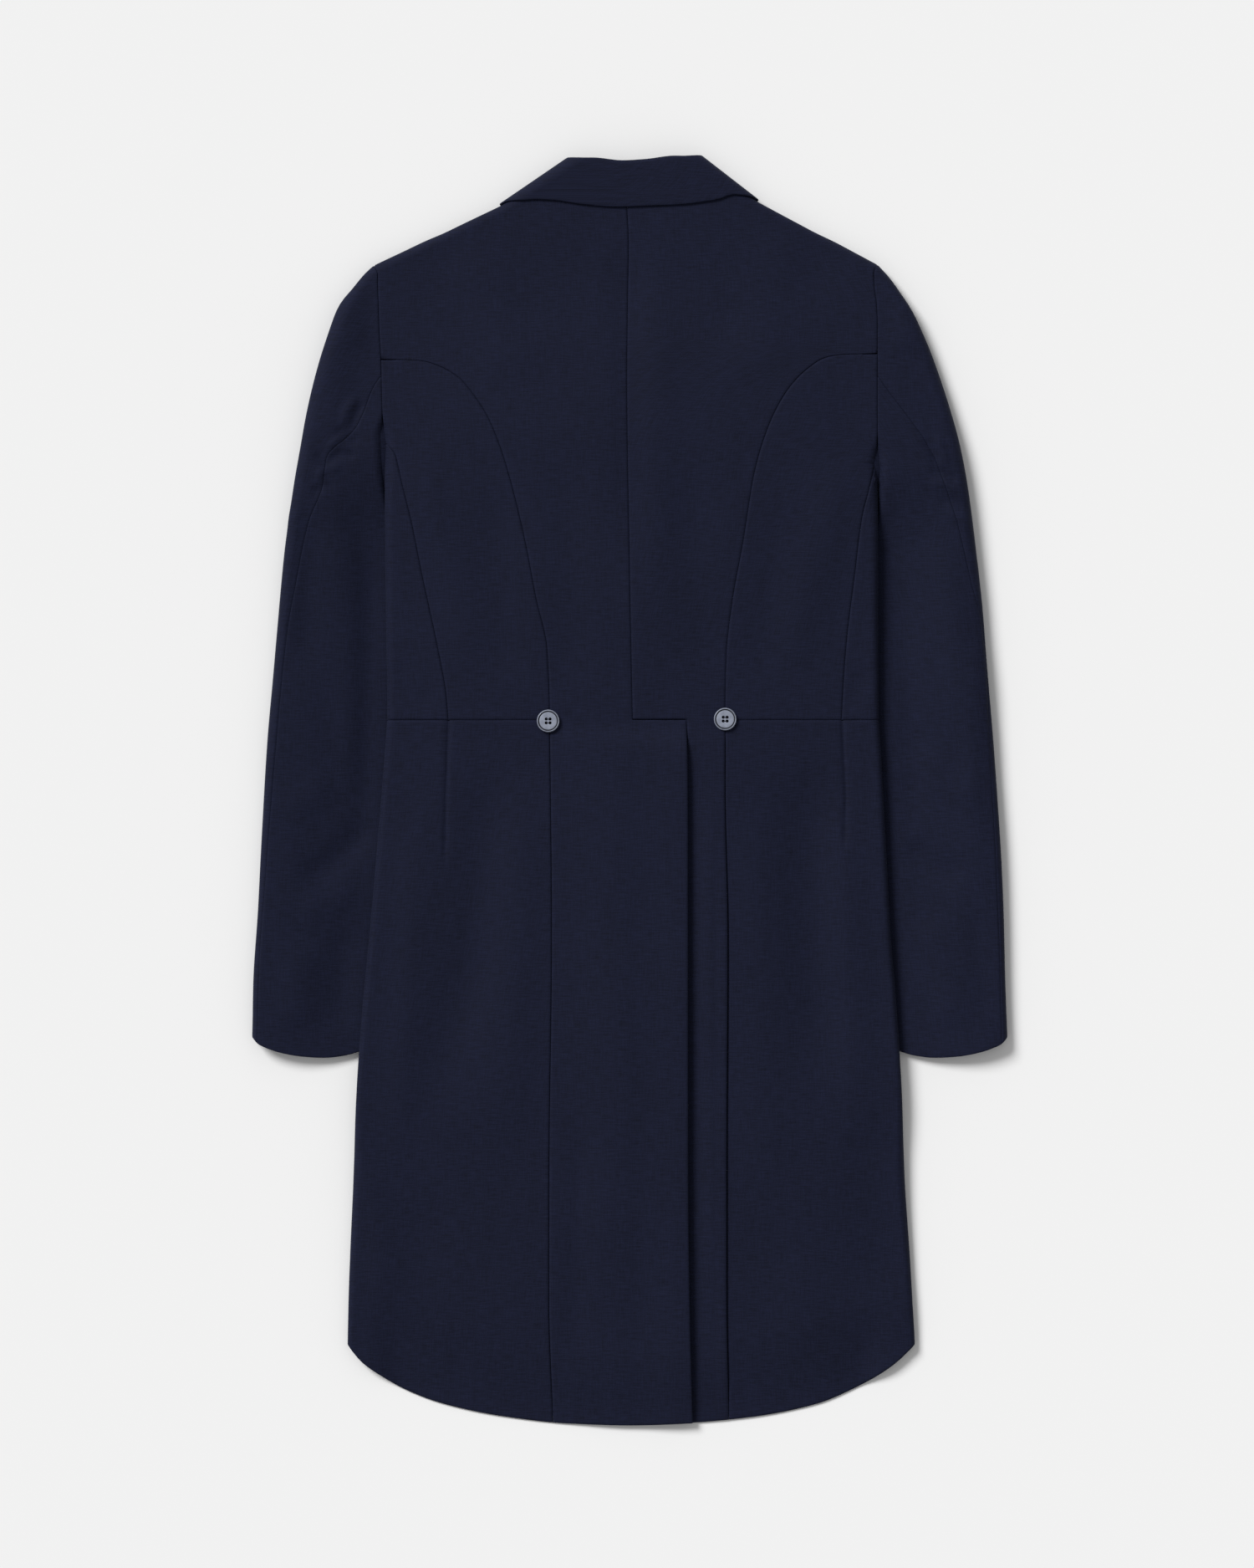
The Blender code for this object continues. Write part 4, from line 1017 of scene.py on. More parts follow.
def inner_edge(side, y):
    """Distance of a sleeve's inner side from the middle: its armhole seam or its inner fold."""
    if y >= PIT[side]:
        return read(ARMHOLE, NAMES[side], y) + HALF_SEAM
    return sleeve_inner(side, y) - inner_height(side, y) / 2


def forearm(side, y):
    """The forearm seam beneath, near the inner fold, from the armhole to the cuff."""
    width = 16 + inner_height(side, min(y, PIT[side])) / 2
    return inner_edge(side, y) + width * min((HIND_TOP - y) / (HIND_TOP - PIT[side]), 1.0)


def top_sleeve_grid(side):
    """The top-sleeve: its head, then from the hind-arm seam round the fold to the forearm seam."""
    name = NAMES[side]
    stations = [head_station(side, step) for step in HEAD_STEPS]
    for level, part in sleeve_levels(side):
        radius = read(HEIGHT, "sleeve", level) / 2
        edge = read(SLEEVE_EDGE, name, level)
        seam = read(HIND_SEAM, name, level) + HALF_SEAM
        fore = forearm(side, level) + HALF_SEAM
        plans = [(x, cuff_place(x, part) if part else level) for x in (seam, edge - radius, fore)]
        stations.append((plans[0], plans[1], (1, 0), radius, plans[2], part))
    grid = []
    for station in stations:
        inner, axis, outward, radius, fore = station[:5]
        row = wrap_row(inner, axis, outward, radius, fore, lambda x, y: sleeve_top(x, y, side),
                       flat_ground, TOP_SLEEVE_COUNTS)
        if len(station) > 5 and station[5]:
            row = [(x, cuff_place(x, station[5]), z) for x, y, z in row]
        grid.append(row)
    return grid


SLEEVE_ROLL = (1.0, 0.95, 0.88, 0.78, 0.64, 0.48, 0.32, 0.16, 0.0)


def under_sleeve_grid(side):
    """The under-sleeve, with a horn on each layer up to the armhole."""
    name = NAMES[side]
    grid = []
    for level, part in sleeve_levels(side):
        seam = read(HIND_SEAM, name, level) - HALF_SEAM
        fore = forearm(side, level) - HALF_SEAM
        edge = inner_edge(side, level)
        height = inner_height(side, level)
        turn = math.radians(ROLL_DEGREES)
        if level >= PIT[side]:
            height = read(HEIGHT, "side", level)
            turn = pit_angle(side, level)
        width = min(6.0, 0.4 * (seam - edge), 0.6 * (fore - edge))
        rolled = rolled_edge(height / 2, turn, SLEEVE_ROLL, max(width, 0.5))
        centre = edge + rolled[-1][0]
        outer_radius = read(HEIGHT, "sleeve", level) / 2
        outer_centre = read(SLEEVE_EDGE, name, level) - outer_radius
        row = []
        for x in seam_spread(seam, centre, 18, close_last=False)[:-1]:
            z = sleeve_top(min(x, outer_centre), level, side)
            if x > outer_centre:
                z = z / 2 + z / 2 * math.cos(math.asin((x - outer_centre) / outer_radius))
            row.append((x, level, z))
        row += [(edge + inset, level, height - drop) for inset, drop in rolled[::-1]]
        split = len(row) - 1
        row += [(edge + inset, level, drop) for inset, drop in rolled]
        row += [(x, level, 0.0) for x in seam_spread(centre, fore, 4, close_first=False)[1:]]
        if part:
            row = [(x, cuff_place(x, part), z) for x, _, z in row]
        grid.append(row)
    return grid, [(i, split) for i in range(arm_levels(side)[1])]


# Collar and lapels

TOP_CORNER = {LEFT: 12.0, RIGHT: 9.8}
ROLL_TOP = 1.9
ROLL_UNDER = 1.05
STAND_UNDER = LAYER + MID_CLOTH
LEAF_LEVEL = LAYER + 0.1
LEAF_CORNER = 18.0
LEAF_SHARES = seam_shares(36.0, 8, close_first=False)[1:]
COLLAR_SHARES = seam_shares(70.0, 15, close_last=False)[:-1]
COLLAR_HALF = 109.0


def collar_section(neck, top, leaf, roll, leaf_level, place):
    """Points from the neck seam up the stand, over the roll and down the leaf."""
    back = unit(top[0] - leaf[0], top[1] - leaf[1])
    shoulder = moved(top, back, -roll)
    points = [place(mix_points(neck, shoulder, share), 0.0) for share in spread(0, 1, 6)]
    for angle in range(20, 181, 20):
        turn = math.radians(angle)
        plan = moved(shoulder, back, roll * math.sin(turn))
        points.append(place(plan, roll * (1 - math.cos(turn))))
    for share in LEAF_SHARES:
        points.append(place(mix_points(shoulder, leaf, share), mix(2 * roll, leaf_level, share)))
    return points


def collar_side_rows(side):
    """Rows from the gorge under the coat, round the crease, up to the back."""
    top, neck, leaf, outward = crease_axis(side)
    level_top = read(HEIGHT, "side", 500) - MID_CLOTH
    radius = (level_top - STAND_UNDER) / 2
    middle = (level_top + STAND_UNDER) / 2
    run = unit(top[0] - leaf[0], top[1] - leaf[1])
    neck = moved(neck, run, HALF_SEAM)
    gorge_top = moved(GORGE[0], (0, 1), HALF_SEAM)
    gorge_leaf = moved(GORGE[1], (0, 1), HALF_SEAM)
    gorge_neck = (GORGE_NECK[0] - 1.5, GORGE_NECK[1] + 1.5)
    rows = []

    def flat_place(plan, level):
        return (plan[0] * side, plan[1], STAND_UNDER - level)

    for share in COLLAR_SHARES:
        low = mix_points(gorge_neck, neck, share)
        high = moved(mix_points(gorge_top, top, share), run, TOP_CORNER[side] * smooth(share))
        end = mix_points(gorge_leaf, leaf, share)
        rows.append(collar_section(low, high, end, ROLL_UNDER, LAYER, flat_place))
    for angle in range(180, 9, -10):
        turn = math.radians(angle)
        under = ramp(angle, 110, 180)
        roll = mix(ROLL_TOP, ROLL_UNDER, under)
        leaf_level = mix(LEAF_LEVEL, LAYER, under)

        def turned_place(plan, level, turn=turn):
            plan = moved(plan, outward, (radius + level) * math.sin(turn))
            return (plan[0] * side, plan[1], middle + (radius + level) * math.cos(turn))

        corner = moved(top, run, TOP_CORNER[side] * (1 - math.sin(turn)))
        leaf_share = 1 - 0.73 * math.sin(turn) - 0.27 * math.sin(turn) ** 11
        end = moved(leaf, run, LEAF_CORNER * leaf_share if angle < 90 else 0.0)
        rows.append(collar_section(neck, corner, end, roll, leaf_level, turned_place))
    return rows


def collar_middle_row(share):
    """A row across the back of the neck; share runs from -1 at the left crease to 1."""
    side = LEFT if share < 0 else RIGHT
    top, neck, leaf, _ = crease_axis(side)
    run = unit(top[0] - leaf[0], top[1] - leaf[1])
    top = moved(top, run, TOP_CORNER[side])
    leaf = moved(leaf, run, LEAF_CORNER)
    size = abs(share)
    neck_x = side * size * (neck[0] - 0.1)
    top_x = side * size * top[0] + 2.0 * (1 - size)
    leaf_x = side * size * leaf[0]
    neck_point = (neck_x, neck_line(abs(neck_x), side) + HALF_SEAM)
    top_y = mix(read(COLLAR_TOP, "y", top_x) - MID_CLOTH, top[1], ramp(size, 0.7, 1))
    leaf_y = mix(read(COLLAR_LEAF, "y", leaf_x), leaf[1], ramp(size, 0.85, 1))

    def place(plan, level):
        return (plan[0], plan[1], body_top(abs(plan[0]), plan[1], side) - MID_CLOTH + level)

    return collar_section(neck_point, (top_x, top_y), (leaf_x, leaf_y), ROLL_TOP, LEAF_LEVEL, place)


def collar_grid():
    """The whole collar, from the left gorge round the back of the neck to the right one."""
    runs = seam_spread(-COLLAR_HALF, COLLAR_HALF, 44)
    middle = [collar_middle_row(run / COLLAR_HALF) for run in runs]
    return collar_side_rows(LEFT) + middle + collar_side_rows(RIGHT)[::-1]


LAPEL_TOP = 458.0
LAPEL_END = 158.0
LAPEL_LENGTH = 302.0


def lapel_grid():
    """A lapel turned back flat beneath its front."""
    grid = []
    for share in seam_shares(LAPEL_LENGTH, 68):
        y = mix(LAPEL_TOP, LAPEL_END, share)
        inner = read(FRONT_EDGE, "x", min(y, GORGE[0][1])) + 0.5
        outer = read(LAPEL_EDGE, "x", y)
        width = max(outer - inner, 1.0)
        row = []
        for part in seam_shares(width, 20):
            x = mix(inner, outer, part)
            line_y = mix(GORGE[0][1], GORGE[1][1], part) - HALF_SEAM
            row.append((x, y + (line_y - LAPEL_TOP) * ramp(y, 400, LAPEL_TOP), 0.0))
        grid.append(row)
    return grid


# Looks

# How far the tails stand above the skirts, and how far the right one sinks where it is lapped
TAIL_PROUD = 1.1
TAIL_PLEAT = 1.1
LAP_EDGE = 49
LAP_SINK = 2.3
ARM_SEAM_DROP = 0.4
RIM_IN = 0.3
UNDER_LIFT_LIMIT = 3.0
LAPEL_LIFT = 0.6

# Length of the strip that fills each armpit, and where in the height its two sides lie
PIT_FILL = {LEFT: 82.0, RIGHT: 30.0}
PIT_FILL_LEVELS = (0.88, 0.62)
BUTTON_REACH = 0.965
DART_END = {"left": -61.0, "right": -50.0}
DART_DEPTH = 1.5
DART_WIDTH = 0.95

WOOL_SHADE = (0.0033, 0.0044, 0.0135)
WOOL_LIGHT = (0.0092, 0.0116, 0.0315)
HORN_SHADE = (0.08, 0.09, 0.13)
HORN_LIGHT = (0.37, 0.405, 0.49)
# Painted shade: near-black colours of the button grooves and hole walls, standing in for the shade
# in these recesses
GROOVE_PAINTED_SHADE_DEEP = (0.004, 0.005, 0.01)
GROOVE_PAINTED_SHADE_PALE = (0.01, 0.011, 0.018)
THREAD_SHADE = (0.008, 0.009, 0.018)
THREAD_LIGHT = (0.02, 0.022, 0.04)
FLOOR_COLOUR = (0.845, 0.845, 0.845)
FLOOR_Z = -0.0004
ROOM_LIGHT = 0.42
SUN_STRENGTH = 3.2
SUN_WAY = (0.62, -0.62, -0.68)
SUN_SPREAD = 24.0
CAMERA_HEIGHT = 6.0
VIEW_HEIGHT = 1.3125
VIEW_CENTRE = (-0.0023, 0.0056)

# Width and length in metres and area in square metres of the face of each piece that shows,
# all round where it turns under
CUT = {
    "back_left": (0.27, 1.04, 0.123), "back_right": (0.22, 1.04, 0.103),
    "side_body_left": (0.141, 0.301, 0.0265), "side_body_right": (0.130, 0.306, 0.0286),
    "front_left": (0.25, 0.45, 0.087), "front_right": (0.25, 0.45, 0.085),
    "skirt_left": (0.345, 0.59, 0.138), "skirt_right": (0.330, 0.59, 0.1305),
    "sleeve_left_top": (0.128, 0.663, 0.0637), "sleeve_right_top": (0.125, 0.663, 0.0603),
    "sleeve_left_under": (0.135, 0.566, 0.0568), "sleeve_right_under": (0.135, 0.566, 0.0577),
    "lapel_left": (0.112, 0.304, 0.0153), "lapel_right": (0.112, 0.304, 0.0153),
    "collar": (0.395, 0.078, 0.0217),
}

# What each piece lies on
GROUND = "floor"
RESTS_ON = {
    "back_left": ["back_right"], "back_right": ["side_body_right"],
    "side_body_left": ["front_left"], "side_body_right": ["front_right"],
    "front_left": ["lapel_left"], "front_right": ["lapel_right"],
    "skirt_left": [GROUND], "skirt_right": [GROUND],
    "sleeve_left_top": [GROUND], "sleeve_right_top": [GROUND],
    "sleeve_left_under": [GROUND], "sleeve_right_under": [GROUND],
    "lapel_left": [GROUND], "lapel_right": [GROUND],
    "collar": ["back_left", "back_right"],
}


# Cloth made from grids

class Wall:
    """A grid of places with its cells, outward normals and distances from its free edges."""

    def __init__(self, grid, faces_up, open_cells=()):
        self.places = np.array([[point or (np.nan,) * 3 for point in row] for row in grid])
        there = ~np.isnan(self.places[:, :, 0])
        self.cells = there[:-1, :-1] & there[1:, :-1] & there[:-1, 1:] & there[1:, 1:]
        for i, j in open_cells:
            self.cells[i, j] = False
        self.used = np.zeros(there.shape, bool)
        for i, j in ((0, 0), (1, 0), (0, 1), (1, 1)):
            self.used[i:i + self.cells.shape[0], j:j + self.cells.shape[1]] |= self.cells
        self.normals = self.find_normals()
        first = np.argwhere(self.cells)[0]
        if (self.normals[first[0], first[1], 2] > 0) != faces_up:
            self.normals *= -1
        self.edge = self.edge_distance()

    def find_normals(self):
        p = self.places
        face = np.cross(p[1:, 1:] - p[:-1, :-1], p[1:, :-1] - p[:-1, 1:])
        face = np.where(self.cells[:, :, None], face, 0.0)
        total = np.zeros(p.shape)
        rows, columns = self.cells.shape
        for i, j in ((0, 0), (1, 0), (0, 1), (1, 1)):
            total[i:i + rows, j:j + columns] += face
        length = np.linalg.norm(total, axis=2, keepdims=True)
        return total / np.maximum(length, 1e-12)

    def edge_distance(self):
        """Distance along the cloth from each place to the nearest free edge."""
        across = self.run_lengths(self.places, self.cells)
        down = self.run_lengths(self.places.transpose(1, 0, 2), self.cells.T).T
        return np.minimum(across, down)

    @staticmethod
    def run_lengths(places, cells):
        rows, columns = places.shape[:2]
        joined = np.zeros((rows, columns - 1), bool)
        joined[:-1] |= cells
        joined[1:] |= cells
        steps = np.linalg.norm(np.nan_to_num(places[:, 1:] - places[:, :-1]), axis=2)
        ahead = np.zeros((rows, columns))
        back = np.zeros((rows, columns))
        for j in range(1, columns):
            ahead[:, j] = np.where(joined[:, j - 1], ahead[:, j - 1] + steps[:, j - 1], 0.0)
        for j in range(columns - 2, -1, -1):
            back[:, j] = np.where(joined[:, j], back[:, j + 1] + steps[:, j], 0.0)
        return np.minimum(ahead, back)


def facing(wall, way):
    """Share by which a place faces up (way 1) or down (way -1)."""
    return ramp_all(way * wall.normals[:, :, 2], -0.1, 0.5)


def read_all(table, name, keys):
    """The values of one column for an array of keys, in straight steps between the rows."""
    return np.interp(keys, table.keys, table.columns[name])


def armhole_gap(x, y):
    """Distance outwards from the armhole seam, and whether the place is above the armpit."""
    left = x < 0
    seam = np.where(left, read_all(ARMHOLE, "left", y), read_all(ARMHOLE, "right", y))
    return np.abs(x) - seam, y > np.where(left, PIT[LEFT], PIT[RIGHT])


def under_lift(wall):
    """Height of the soft creases beneath, none at the edges."""
    x, y = wall.places[:, :, 0], wall.places[:, :, 1]
    lift = crease_height(x, y, UNDER_FOLDS) + 0.4 * swell(y, x)
    return np.clip(lift, 0.0, UNDER_LIFT_LIMIT) * ramp_all(wall.edge, 2, 18)


def both_faces(wall, top):
    """Creases of the upper face, with the soft ones beneath."""
    return facing(wall, 1) * top - facing(wall, -1) * under_lift(wall)


def body_relief(wall):
    """Creases of the body, calm beside the collar and the armholes."""
    x, y = wall.places[:, :, 0], wall.places[:, :, 1]
    gap, beside_armhole = armhole_gap(x, y)
    calm = ramp_all(y, 484, 444) * np.where(beside_armhole, ramp_all(gap, 0, -22), 1.0)
    return both_faces(wall, crease_height(x, y, BODY_FOLDS) * calm + swell(x, y))


def sleeve_relief(wall):
    """Creases of a sleeve, calm beside the armhole, with the puckers at its seam."""
    x, y = wall.places[:, :, 0], wall.places[:, :, 1]
    gap, beside_armhole = armhole_gap(x, y)
    calm = np.where(beside_armhole, ramp_all(gap, 0, 14), 1.0)
    top = crease_height(x, y, SLEEVE_FOLDS) * calm + crease_height(x, y, PUCKERS)
    return both_faces(wall, top + swell(x, y))


def tail_relief(wall):
    """The back, whose tails stand a little proud of the skirts."""
    x, y = wall.places[:, :, 0], wall.places[:, :, 1]
    below = ramp_all(y, WAIST - 4, WAIST - 20)
    above_hem = y - read_all(HEM, "y", x)
    pleat = TAIL_PLEAT * ramp_all(x, 70, 80) * ramp_all(y, WAIST - 20, WAIST - 220)
    proud = (TAIL_PROUD + pleat) * ramp_all(above_hem, -12, 48) * below
    if np.nanmean(x) > 0:
        lap = ramp_all(x, LAP_EDGE, LAP_EDGE - 3) * ramp_all(y, WAIST + 1.3, WAIST - 0.2)
        beside = ramp_all(x, LAP_EDGE + 29, LAP_EDGE + 5) * ramp_all(y, WAIST - 6, WAIST - 66)
        proud = proud - LAP_SINK * np.maximum(0.75 * beside, lap) * ramp_all(above_hem, 14, 74)
    return body_relief(wall) + proud * facing(wall, 1)


def skirt_relief(wall):
    """The skirt, with the dart pressed in below the waist seam."""
    x, y = np.abs(wall.places[:, :, 0]), wall.places[:, :, 1]
    name = "left" if np.nanmean(wall.places[:, :, 0]) < 0 else "right"
    away = (x - read_all(DART, name, y)) / DART_WIDTH
    depth = DART_DEPTH * ramp_all(y, DART_END[name] - 6, DART_END[name] + 20)
    return body_relief(wall) - depth * np.exp(-away ** 2) * facing(wall, 1)


def lapel_relief(wall):
    """Lower creases than those of the front above it."""
    return -LAPEL_LIFT * under_lift(wall)


def collar_relief(wall):
    """Unevenness of the collar, only where it lies up on the back."""
    x, y, z = (wall.places[:, :, i] for i in range(3))
    return swell(x, y) * ramp_all(z, 8, 14) * wall.normals[:, :, 2]


def flat_relief(wall):
    """No creases."""
    return np.zeros(wall.edge.shape)


def free_edges(quads):
    """The edges that only one face has, each in the direction of its face."""
    edges = {}
    for quad in quads.tolist():
        for start, end in zip(quad, quad[1:] + quad[:1]):
            if (end, start) in edges:
                del edges[(end, start)]
            else:
                edges[(start, end)] = True
    return edges


def cloth_mesh(name, wall, relief, outer, inner, drop):
    """Two skins joined along every free edge, rolled in towards each other there."""
    raised = wall.places + wall.normals * relief[:, :, None]
    near = np.clip(1 - wall.edge / SEAM_ROLL, 0.0, 1.0) ** 2
    above = raised + wall.normals * (outer - drop * near)[:, :, None]
    below = raised - wall.normals * (inner - RIM_IN * near)[:, :, None]
    index = np.full(wall.used.shape, -1)
    index[wall.used] = np.arange(wall.used.sum())
    count = int(wall.used.sum())
    a, b = index[:-1, :-1], index[:-1, 1:]
    c, d = index[1:, 1:], index[1:, :-1]
    quads = np.stack([a, b, c, d], axis=2)[wall.cells]
    p = wall.places
    face = np.cross(p[1:, 1:] - p[:-1, :-1], p[1:, :-1] - p[:-1, 1:])[wall.cells]
    agree = np.nansum(face * wall.normals[:-1, :-1][wall.cells], axis=1) > 0
    if np.mean(agree) >= 0.5:
        quads = quads[:, ::-1]
    faces = np.concatenate([quads[:, ::-1], quads + count])
    rims = [(start, end, end + count, start + count) for start, end in free_edges(quads)]
    faces = np.concatenate([faces, rims])
    points = np.concatenate([above[wall.used], below[wall.used]]) * MM
    mesh = bpy.data.meshes.new(name)
    mesh.from_pydata(points.tolist(), [], faces.tolist())
    mesh.polygons.foreach_set("use_smooth", [True] * len(mesh.polygons))
    add_weave_map(mesh, wall)
    mesh.validate()
    return mesh


def add_weave_map(mesh, wall):
    """Lengths along the cloth in both directions, for the weave to follow."""
    steps = np.nan_to_num(np.linalg.norm(wall.places[:, 1:] - wall.places[:, :-1], axis=2))
    across = np.concatenate([np.zeros((steps.shape[0], 1)), np.cumsum(steps, axis=1)], axis=1)
    middle = steps.shape[1] // 3
    start = np.nan_to_num(wall.places[:, middle:middle + 1, 0])
    across = across - across[:, middle:middle + 1] + start
    lengths = np.stack([across, wall.places[:, :, 1]], axis=2)[wall.used] * MM
    lengths = np.concatenate([lengths, lengths])
    loops = np.zeros(len(mesh.loops), int)
    mesh.loops.foreach_get("vertex_index", loops)
    layer = mesh.uv_layers.new(name="weave")
    layer.data.foreach_set("uv", lengths[loops].ravel())


def linked(name, data):
    """A new object of the scene."""
    thing = bpy.data.objects.new(name, data)
    bpy.context.scene.collection.objects.link(thing)
    return thing


def cloth_piece(name, grid, relief, faces_up=True, open_cells=(), outer=0.0, inner=CLOTH,
                drop=SEAM_DROP):
    """One piece of the coat in the place of its solid."""
    wall = Wall(grid, faces_up, open_cells)
    piece = linked("wool_" + name, cloth_mesh(name, wall, relief(wall), outer, inner, drop))
    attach(piece, "root")
    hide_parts(name)
    return piece


def mirrored(grid, side):
    """A grid given by distances from the middle, put on its side of the coat."""
    return [[None if p is None else (p[0] * side, p[1], p[2]) for p in row] for row in grid]


# Half thickness of the inner strips, half width of the turnings, depth of most beneath the cloth
TAPE_HALF = 0.2
TURNING_HALF_WIDTH = 3.0
SHALLOW = 0.3


def tape(name, grid, relief):
    """A narrow strip of the same cloth inside the coat."""
    wall = Wall(grid, True)
    strip = linked(name, cloth_mesh(name, wall, relief(wall), TAPE_HALF, TAPE_HALF, 0.0))
    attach(strip, "root")
    return strip


def armhole_tape(place, side, first, last, levels, half_width):
    """A tape inside the armhole, from the first level at its left to the second at its right."""
    grid = []
    for y in spread(first, last, 40):
        seam = read(ARMHOLE, NAMES[side], y)
        height = inner_height(side, y) if y < PIT[side] else read(HEIGHT, "side", y)
        height *= mix(0.35, 1.0, ramp(y, first, first + 26))
        row = []
        for across in spread(-1.0, 1.0, 5):
            level = mix(levels[0], levels[1], 0.5 + 0.5 * side * across)
            row.append((seam + across * half_width, y, height * level))
        grid.append(row)
    return tape(f"{place}_tape_{NAMES[side]}", mirrored(grid, side), flat_relief)


def seam_line(table, name, first, last, side):
    """Places along a seam whose distance from the middle is read by height in plan."""
    count = steps_for(abs(last - first), 8.0)
    return [(side * read(table, name, y), y) for y in spread(first, last, count)]


def seam_lines():
    """Every long seam of the back layer: its name, its places and how deep its turnings lie."""
    lines = [("centre", seam_line(CENTRE, "x", WAIST - 1, 484.0, RIGHT), SHALLOW),
             ("lap", [(x, WAIST) for x in spread(0.0, 50.0, 8)], 3.0)]
    for side in (LEFT, RIGHT):
        name = NAMES[side]
        first = read(TAIL_SEAM, name, WAIST)
        last = read(SIDE_EDGE, name, WAIST) - 14
        curve = [(side * read(SIDE_BODY, name + "_x", step), read(SIDE_BODY, name + "_y", step))
                 for step in spread(0.15, 12.0, 60)]
        lines += [(name + "_waist", [(side * x, WAIST) for x in spread(first, last, 20)], SHALLOW),
                  (name + "_tail", seam_line(TAIL_SEAM, name, WAIST - 2, -522.0, side), 2.4),
                  (name + "_side_body", curve, SHALLOW),
                  (name + "_side", seam_line(SIDE_SEAM, name, WAIST, PIT[side] - 10, side),
                   SHALLOW)]
    return lines


def seam_turning(name, line, depth):
    """The turnings of one seam, as a strip just beneath the cloth."""
    grid = []
    for i, (x, y) in enumerate(line):
        before, after = line[max(i - 1, 0)], line[min(i + 1, len(line) - 1)]
        along = unit(after[0] - before[0], after[1] - before[1])
        row = []
        for across in spread(-TURNING_HALF_WIDTH, TURNING_HALF_WIDTH, 4):
            place = moved((x, y), (along[1], -along[0]), across)
            side = RIGHT if place[0] > 0 else LEFT
            z = body_top(abs(place[0]), place[1], side) - CLOTH - depth
            row.append((place[0], place[1], max(z, 0.4)))
        grid.append(row)
    return tape("turning_" + name, grid, body_relief)


def build_cloth():
    """Every piece of cloth, by the name of the solid that it takes the place of."""
    pieces = {}

    def add(name, *settings, **more):
        pieces[name] = cloth_piece(name, *settings, **more)

    for side in (LEFT, RIGHT):
        name = NAMES[side]
        add(f"back_{name}", back_grid(side)[::-1], tail_relief)
        add(f"side_body_{name}", mirrored(side_body_grid(side), side), body_relief)
        grid, open_cells = front_grid(side)
        add(f"front_{name}", mirrored(grid, side), body_relief, open_cells=open_cells)
        add(f"skirt_{name}", mirrored(skirt_grid(side), side), skirt_relief)
        add(f"sleeve_{name}_top", mirrored(top_sleeve_grid(side), side), sleeve_relief,
            drop=ARM_SEAM_DROP)
        grid, open_cells = under_sleeve_grid(side)
        add(f"sleeve_{name}_under", mirrored(grid, side), sleeve_relief, open_cells=open_cells,
            drop=ARM_SEAM_DROP)
        add(f"lapel_{name}", mirrored(lapel_grid(), side), lapel_relief, faces_up=False)
    add("collar", collar_grid(), collar_relief, faces_up=False, outer=MID_CLOTH, inner=MID_CLOTH)
    return pieces


# Finishes

# Counts a metre across and down, detail and roughness of each unevenness of the weave
WEAVE_NOISES = {
    "across": (85.0, 1000.0, 3.0, 0.62),
    "down": (1000.0, 70.0, 3.0, 0.62),
    "streaks": (150.0, 7.0, 3.0, 0.6),
    "fuzz": (900.0, 900.0, 2.0, 0.7),
    "cloud": (14.0, 10.0, 3.0, 0.55),
}
THREADS = 1250.0
SLUB = 1.7
CLOUD_DETAIL = 4.0
CLOUD_ROUGHNESS = 0.6


def add_node(tree, kind, **settings):
    """A new node with these settings."""
    node = tree.nodes.new(kind)
    for name, value in settings.items():
        setattr(node, name, value)
    return node


def fill(tree, socket, value):
    """Give a socket a fixed value or the output of another node."""
    if isinstance(value, bpy.types.NodeSocket):
        tree.links.new(value, socket)
    else:
        socket.default_value = value


def fill_all(tree, node, values):
    """Fill the named inputs of a node."""
    for name, value in values.items():
        fill(tree, node.inputs[name], value)


def math_node(tree, operation, *values):
    """The result of a sum, product or other operation on values and outputs."""
    node = add_node(tree, "ShaderNodeMath", operation=operation)
    for socket, value in zip(node.inputs, values):
        fill(tree, socket, value)
    return node.outputs[0]


def stretched_noise(tree, place, across, down, detail, roughness):
    """Noise drawn out along one thread direction; across and down are counts a metre."""
    scale = add_node(tree, "ShaderNodeMapping")
    fill_all(tree, scale, {"Scale": (across, down, 1.0), "Vector": place})
    noise = add_node(tree, "ShaderNodeTexNoise")
    fill_all(tree, noise, {"Scale": 1.0, "Detail": detail, "Roughness": roughness,
                           "Vector": scale.outputs["Vector"]})
    return noise.outputs["Fac"]


def colour_mix(tree, share, shade, light):
    """A colour between the shade and the light one."""
    mixer = add_node(tree, "ShaderNodeMix", data_type="RGBA")
    for socket, value in ((mixer.inputs["Factor"], share), (mixer.inputs[6], shade),
                          (mixer.inputs[7], light)):
        fill(tree, socket, value)
    return mixer.outputs[2]


def add_bump(tree, shader, height, strength, distance):
    """Let the light of a surface follow a fine height."""
    bump = add_node(tree, "ShaderNodeBump")
    fill_all(tree, bump, {"Strength": strength, "Distance": distance, "Height": height})
    fill(tree, shader.inputs["Normal"], bump.outputs["Normal"])


def new_material(name):
    """A material, its node tree and its surface node."""
    material = bpy.data.materials.new(name)
    material.use_nodes = True
    return material, material.node_tree, material.node_tree.nodes["Principled BSDF"]


def group_with(name, inputs, outputs):
    """A node group with named sockets, and its input and output nodes."""
    group = bpy.data.node_groups.new(name, "ShaderNodeTree")
    for label, kind, value in inputs:
        socket = group.interface.new_socket(label, in_out="INPUT", socket_type=kind)
        if value is not None:
            socket.default_value = value
    for label, kind in outputs:
        group.interface.new_socket(label, in_out="OUTPUT", socket_type=kind)
    return group, group.nodes.new("NodeGroupInput"), group.nodes.new("NodeGroupOutput")


